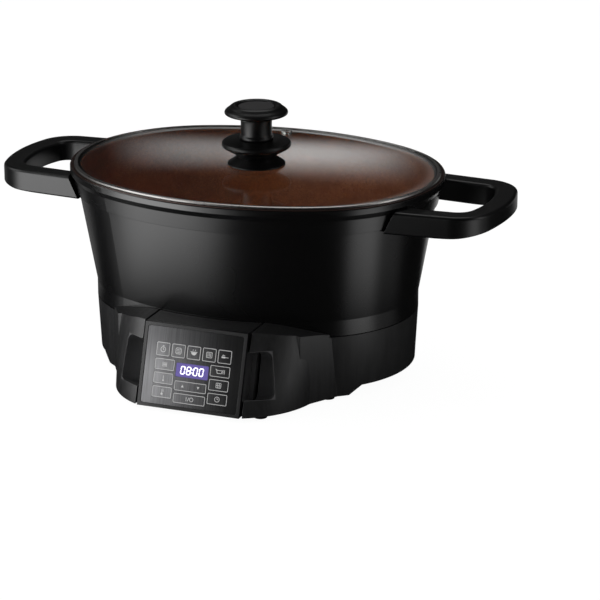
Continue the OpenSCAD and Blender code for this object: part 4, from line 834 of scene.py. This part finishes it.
def smooth_route(corners, round_by=5.0, steps=8):
    """A route through corners. Near each it follows (1 - s)^2 a + 2 s (1 - s) corner + s^2 b,
    from a point a before the corner to a point b after it, as s goes from 0 to 1."""
    corners = np.asarray(corners, float)
    points = [corners[:1]]
    for before, at, after in zip(corners[:-2], corners[1:-1], corners[2:]):
        run_in, run_out = at - before, after - at
        cut_in = min(round_by, np.linalg.norm(run_in) / 2.1)
        cut_out = min(round_by, np.linalg.norm(run_out) / 2.1)
        a = at - run_in / np.linalg.norm(run_in) * cut_in
        b = at + run_out / np.linalg.norm(run_out) * cut_out
        s = np.linspace(0, 1, steps)[:, None]
        points.append((1 - s) ** 2 * a + 2 * s * (1 - s) * at + s ** 2 * b)
    points.append(corners[-1:])
    return np.vstack(points) * MM + [0, POT_AXIS_Y, 0]


def tube(path, radius, sides=12):
    """A round tube along a path, its rings turned as little as can be from one to the next."""
    along = np.gradient(path, axis=0)
    along /= np.linalg.norm(along, axis=1)[:, None]
    side = np.zeros_like(along)
    side[0] = np.cross(along[0], [0.31, 0.2, 0.9])
    for i in range(1, len(path)):
        side[i] = side[i - 1]
        side[i] -= along[i] * (side[i] @ along[i])
        side[i] /= np.linalg.norm(side[i])
    side[0] /= np.linalg.norm(side[0])
    lift = np.cross(along, side)
    ring = circle_profile(radius, sides)
    points = path[:, None] + side[:, None] * ring[None, :, :1] + lift[:, None] * ring[None, :, 1:]
    faces = [list(f) for f in grid_faces(len(path), sides, False, True)]
    faces += [list(range(sides)), list(range((len(path) - 1) * sides, len(path) * sides))]
    return points.reshape(-1, 3), faces


LEAD_Z, LEAD_FOOT, LEAD_Y = 15.1, 12.25, -29.0
routes = [[(s * 18.6, 63.8, 19.85), (s * 18.6, 63.8, LEAD_Z), (s * 18.6, LEAD_Y, LEAD_Z),
           (s * 18.6, LEAD_Y, LEAD_FOOT)] for s in (-1, 1)]
# The gland sits square to the oval's back arc, 18 degrees from the middle
gland_turn, GLAND_R = math.radians(18), 211.634
gland_end = (GLAND_R * math.sin(gland_turn), GLAND_R * math.cos(gland_turn) - SIDE_Y / MM)
routes.append([(*gland_end, 26), (gland_end[0], gland_end[1] - 6, LEAD_Z), (42, LEAD_Y, LEAD_Z),
               (42, LEAD_Y, LEAD_FOOT)])
routes.append([(0, -100.44, 25), (0, -95.54, LEAD_Z), (0, -61.67, LEAD_Z), (0, -61.67, LEAD_FOOT)])
wires = piece("base_wires", [tube(smooth_route(r), WIRE_R) for r in routes], "base", wire_red)
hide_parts("base_wiring")
print("wires:", len(routes))

# %% [markdown]
# ## The studio
# The photograph is cut out on pure white, and its reflections show a dark room with a few soft
# lights: one broad card at the left, a narrow one at the right, and a low bright strip behind
# that the glass mirrors. The world gives white to the camera and that room to glossy rays. Each
# soft card is a patch of direction, made by one node group.

# %% Soft cards in the world
card, g_in, g_out = new_group(
    "soft card", [("Direction", VECTOR), ("Facing", VECTOR)] + [(label, FLOAT) for label in (
        "Edge", "Core", "Bottom", "Bottom soft", "Top", "Top soft", "Strength")],
    [("Value", FLOAT)])
split = node(card, "SeparateXYZ", [(0, g_in.outputs["Direction"])])
level = node(card, "CombineXYZ", [(0, split.outputs[0]), (1, split.outputs[1])])
level = node(card, "VectorMath", [(0, level.outputs[0])], operation="NORMALIZE")
toward = node(card, "VectorMath", [(0, level.outputs[0]), (1, g_in.outputs["Facing"])],
              operation="DOT_PRODUCT").outputs["Value"]
across = smooth_step(card, toward, g_in.outputs["Edge"], g_in.outputs["Core"])
low_end = maths(card, "ADD", g_in.outputs["Bottom"], g_in.outputs["Bottom soft"])
bottom = smooth_step(card, split.outputs[2], g_in.outputs["Bottom"], low_end)
high_end = maths(card, "SUBTRACT", g_in.outputs["Top"], g_in.outputs["Top soft"])
top = smooth_step(card, split.outputs[2], g_in.outputs["Top"], high_end)
value = maths(card, "MULTIPLY", maths(card, "MULTIPLY", across, bottom), top)
card.links.new(maths(card, "MULTIPLY", value, g_in.outputs["Strength"]), g_out.inputs["Value"])


def facing(relative_degrees):
    """Level direction at an angle from the camera's side, positive to the camera's right."""
    a = math.radians(relative_degrees)
    level_back = np.array([math.sin(AZIMUTH), -math.cos(AZIMUTH), 0])
    return tuple(level_back * math.cos(a) + right * math.sin(a))


def cosine(degrees):
    """Cosine of an angle in degrees."""
    return math.cos(math.radians(degrees))


world = bpy.data.worlds.new("studio")
scene.world = world
world.use_nodes = True
tree = world.node_tree
tree.nodes.clear()
direction = tree.nodes.new("ShaderNodeTexCoord").outputs["Generated"]
# angle from the camera's side, half-widths of core and edge, bottom, its softness, top, its
# softness, strength
cards = [
    (-75, 12, 45, -0.3, 0.2, 0.5, 0.35, 0.7),
    (75, 8, 30, -0.3, 0.2, 0.4, 0.3, 0.5),
    (179.2, 0.2, 2.7, 0.218, 0.03, 0.3, 0.045, 0.45),
    (180.9, 0.3, 3.8, 0.218, 0.03, 0.29, 0.04, 0.45),
    (-150, 12, 30, -0.3, 0.2, 0.3, 0.3, 0.12),
]


def add_cards(tree, direction, table, base):
    """Sum of soft cards for one direction, over a base level."""
    total = base
    for angle, core, edge_angle, low, low_soft, high, high_soft, strength in table:
        one = use_group(tree, card, [("Direction", direction), ("Facing", facing(angle)),
                                     ("Edge", cosine(edge_angle)), ("Core", cosine(core)),
                                     ("Bottom", low), ("Bottom soft", low_soft), ("Top", high),
                                     ("Top soft", high_soft), ("Strength", strength)])
        total = maths(tree, "ADD", total, one.outputs["Value"])
    return total


total = add_cards(tree, direction, cards, 0.012)
path = tree.nodes.new("ShaderNodeLightPath")
# What the glass lets through: white near the level, and a broad card higher up
above = add_cards(tree, direction, [(-80, 25, 85, 0.1, 0.2, 1.2, 0.1, 3.0)], 0.0)
height = node(tree, "SeparateXYZ", [(0, direction)]).outputs[2]
high_share = smooth_step(tree, height, 0.06, 0.16)
through = node(tree, "Mix", [("Factor", high_share), ("A", 1.0), ("B", above)]).outputs[0]
through = maths(tree, "MULTIPLY", through, path.outputs["Is Transmission Ray"])
seen = maths(tree, "MAXIMUM", path.outputs["Is Camera Ray"], through)
room = maths(tree, "MULTIPLY", total, path.outputs["Is Glossy Ray"])
fill = maths(tree, "MULTIPLY", path.outputs["Is Diffuse Ray"], 0.4)
strength = maths(tree, "MAXIMUM", seen, maths(tree, "ADD", room, fill))
background = node(tree, "Background", [("Color", (1, 1, 1, 1)), ("Strength", strength)])
tree.links.new(background.outputs[0], node(tree, "OutputWorld").inputs["Surface"])
print("cards in the room:", len(cards))


# %% Lamps
def lamp(name, at, aim, size, power):
    """A soft area lamp at a place, turned to look at its aim and hidden from the camera."""
    data = bpy.data.lights.new(name, "AREA")
    data.shape, data.size, data.size_y, data.energy = "RECTANGLE", size[0], size[1], power
    made = bpy.data.objects.new(name, data)
    scene.collection.objects.link(made)
    z = np.subtract(at, aim)
    z /= np.linalg.norm(z)
    x = np.cross([0, 0, 1], z)
    x /= np.linalg.norm(x)
    turn_matrix = np.eye(4)
    turn_matrix[:3, 0], turn_matrix[:3, 1], turn_matrix[:3, 2] = x, np.cross(z, x), z
    turn_matrix[:3, 3] = at
    made.matrix_world = Matrix(turn_matrix.tolist())
    made.visible_camera = False


MIDDLE = np.array([0, POT_AXIS_Y, 0.1])
lamp("left softbox", MIDDLE + np.array(facing(-95)) * 1.3 + [0, 0, 0.9], MIDDLE, (0.8, 0.8), 5)
lamp("right softbox", MIDDLE + np.array(facing(70)) * 1.5 + [0, 0, 0.8], MIDDLE, (0.3, 0.9), 3)
lamp("overhead softbox", MIDDLE + np.array(facing(180)) * 0.6 + [0, 0, 1.6], MIDDLE,
     (1.2, 0.8), 6)
# The low card stands close by: its edge makes part of the shade that runs across the panel, and the
# film's painted shade adds to it
card_at = np.array([-0.364, -0.373, 0.15])
lamp("low card", card_at, card_at - np.array(facing(-43)), (0.4, 0.3), 1.1)
print("lamps:", [light.name for light in bpy.data.lights])

# %% Floor
floor_material = bpy.data.materials.new("pale floor")
floor_material.use_nodes = True
tree = floor_material.node_tree
tree.nodes.clear()
spots = node(tree, "TexNoise", [("Vector", tree.nodes.new("ShaderNodeTexCoord").outputs["Object"]),
                                ("Scale", 3.0)])
matt = node(tree, "BsdfDiffuse", [("Color", blended(
    tree, spots.outputs[0], (0.80, 0.80, 0.80, 1), (0.83, 0.83, 0.83, 1)))])
glowing = node(tree, "Emission", [("Color", (1, 1, 1, 1)), ("Strength", 1.07)])
path = tree.nodes.new("ShaderNodeLightPath")
seen = maths(tree, "MAXIMUM", path.outputs["Is Camera Ray"], path.outputs["Is Transmission Ray"])
lifted = maths(tree, "MULTIPLY", seen, 0.9)
lit = node(tree, "MixShader", [(0, lifted), (1, matt.outputs[0]), (2, glowing.outputs[0])])
# What shiny sides mirror is the table: dark under the pot, lit from both sides further out
patches = [(-58, 4, 36, -1, 0.1, 1, 0.1, 3.0), (49, 4, 15, -1, 0.1, 1, 0.1, 1.6),
           (66, 6, 22, -1, 0.1, 1, 0.1, 0.3), (150, 8, 24, -1, 0.1, 1, 0.1, 0.7),
           (-140, 10, 26, -1, 0.1, 1, 0.1, 0.2)]
spot = tree.nodes.new("ShaderNodeNewGeometry").outputs["Position"]
level_spot = node(tree, "VectorMath", [(0, spot), (1, (0, POT_AXIS_Y, 0))], operation="SUBTRACT")
reach = node(tree, "VectorMath", [(0, level_spot.outputs[0])], operation="LENGTH").outputs["Value"]
around = add_cards(tree, level_spot.outputs[0], patches, 0.0)
mirrored = maths(tree, "MULTIPLY", around, smooth_step(tree, reach, 0.21, 0.38))
table = node(tree, "Emission", [("Color", (1, 1, 1, 1)),
                                ("Strength", maths(tree, "ADD", mirrored, 0.008))])
both = node(tree, "MixShader", [(0, path.outputs["Is Glossy Ray"]), (1, lit.outputs[0]),
                                (2, table.outputs[0])])
tree.links.new(both.outputs[0], node(tree, "OutputMaterial").inputs["Surface"])
FLOOR_R, FLOOR_Z = 6.0, -0.0003     # metres; the floor lies just below the feet
angles = np.linspace(0, 2 * math.pi, 64, endpoint=False)
spokes = np.linspace(0, 1, 9) ** 2 * FLOOR_R
disc_grid = np.stack([spokes[:, None] * np.cos(angles), spokes[:, None] * np.sin(angles),
                      np.zeros((len(spokes), len(angles)))], 2)
floor_mesh = bpy.data.meshes.new("floor")
floor_mesh.from_pydata(disc_grid.reshape(-1, 3).tolist(), [],
                       grid_faces(len(spokes), len(angles), False, True).tolist())
floor = bpy.data.objects.new("floor", floor_mesh)
scene.collection.objects.link(floor)
floor.data.materials.append(floor_material)
floor.location.z = FLOOR_Z
print("floor faces:", len(floor_mesh.polygons))
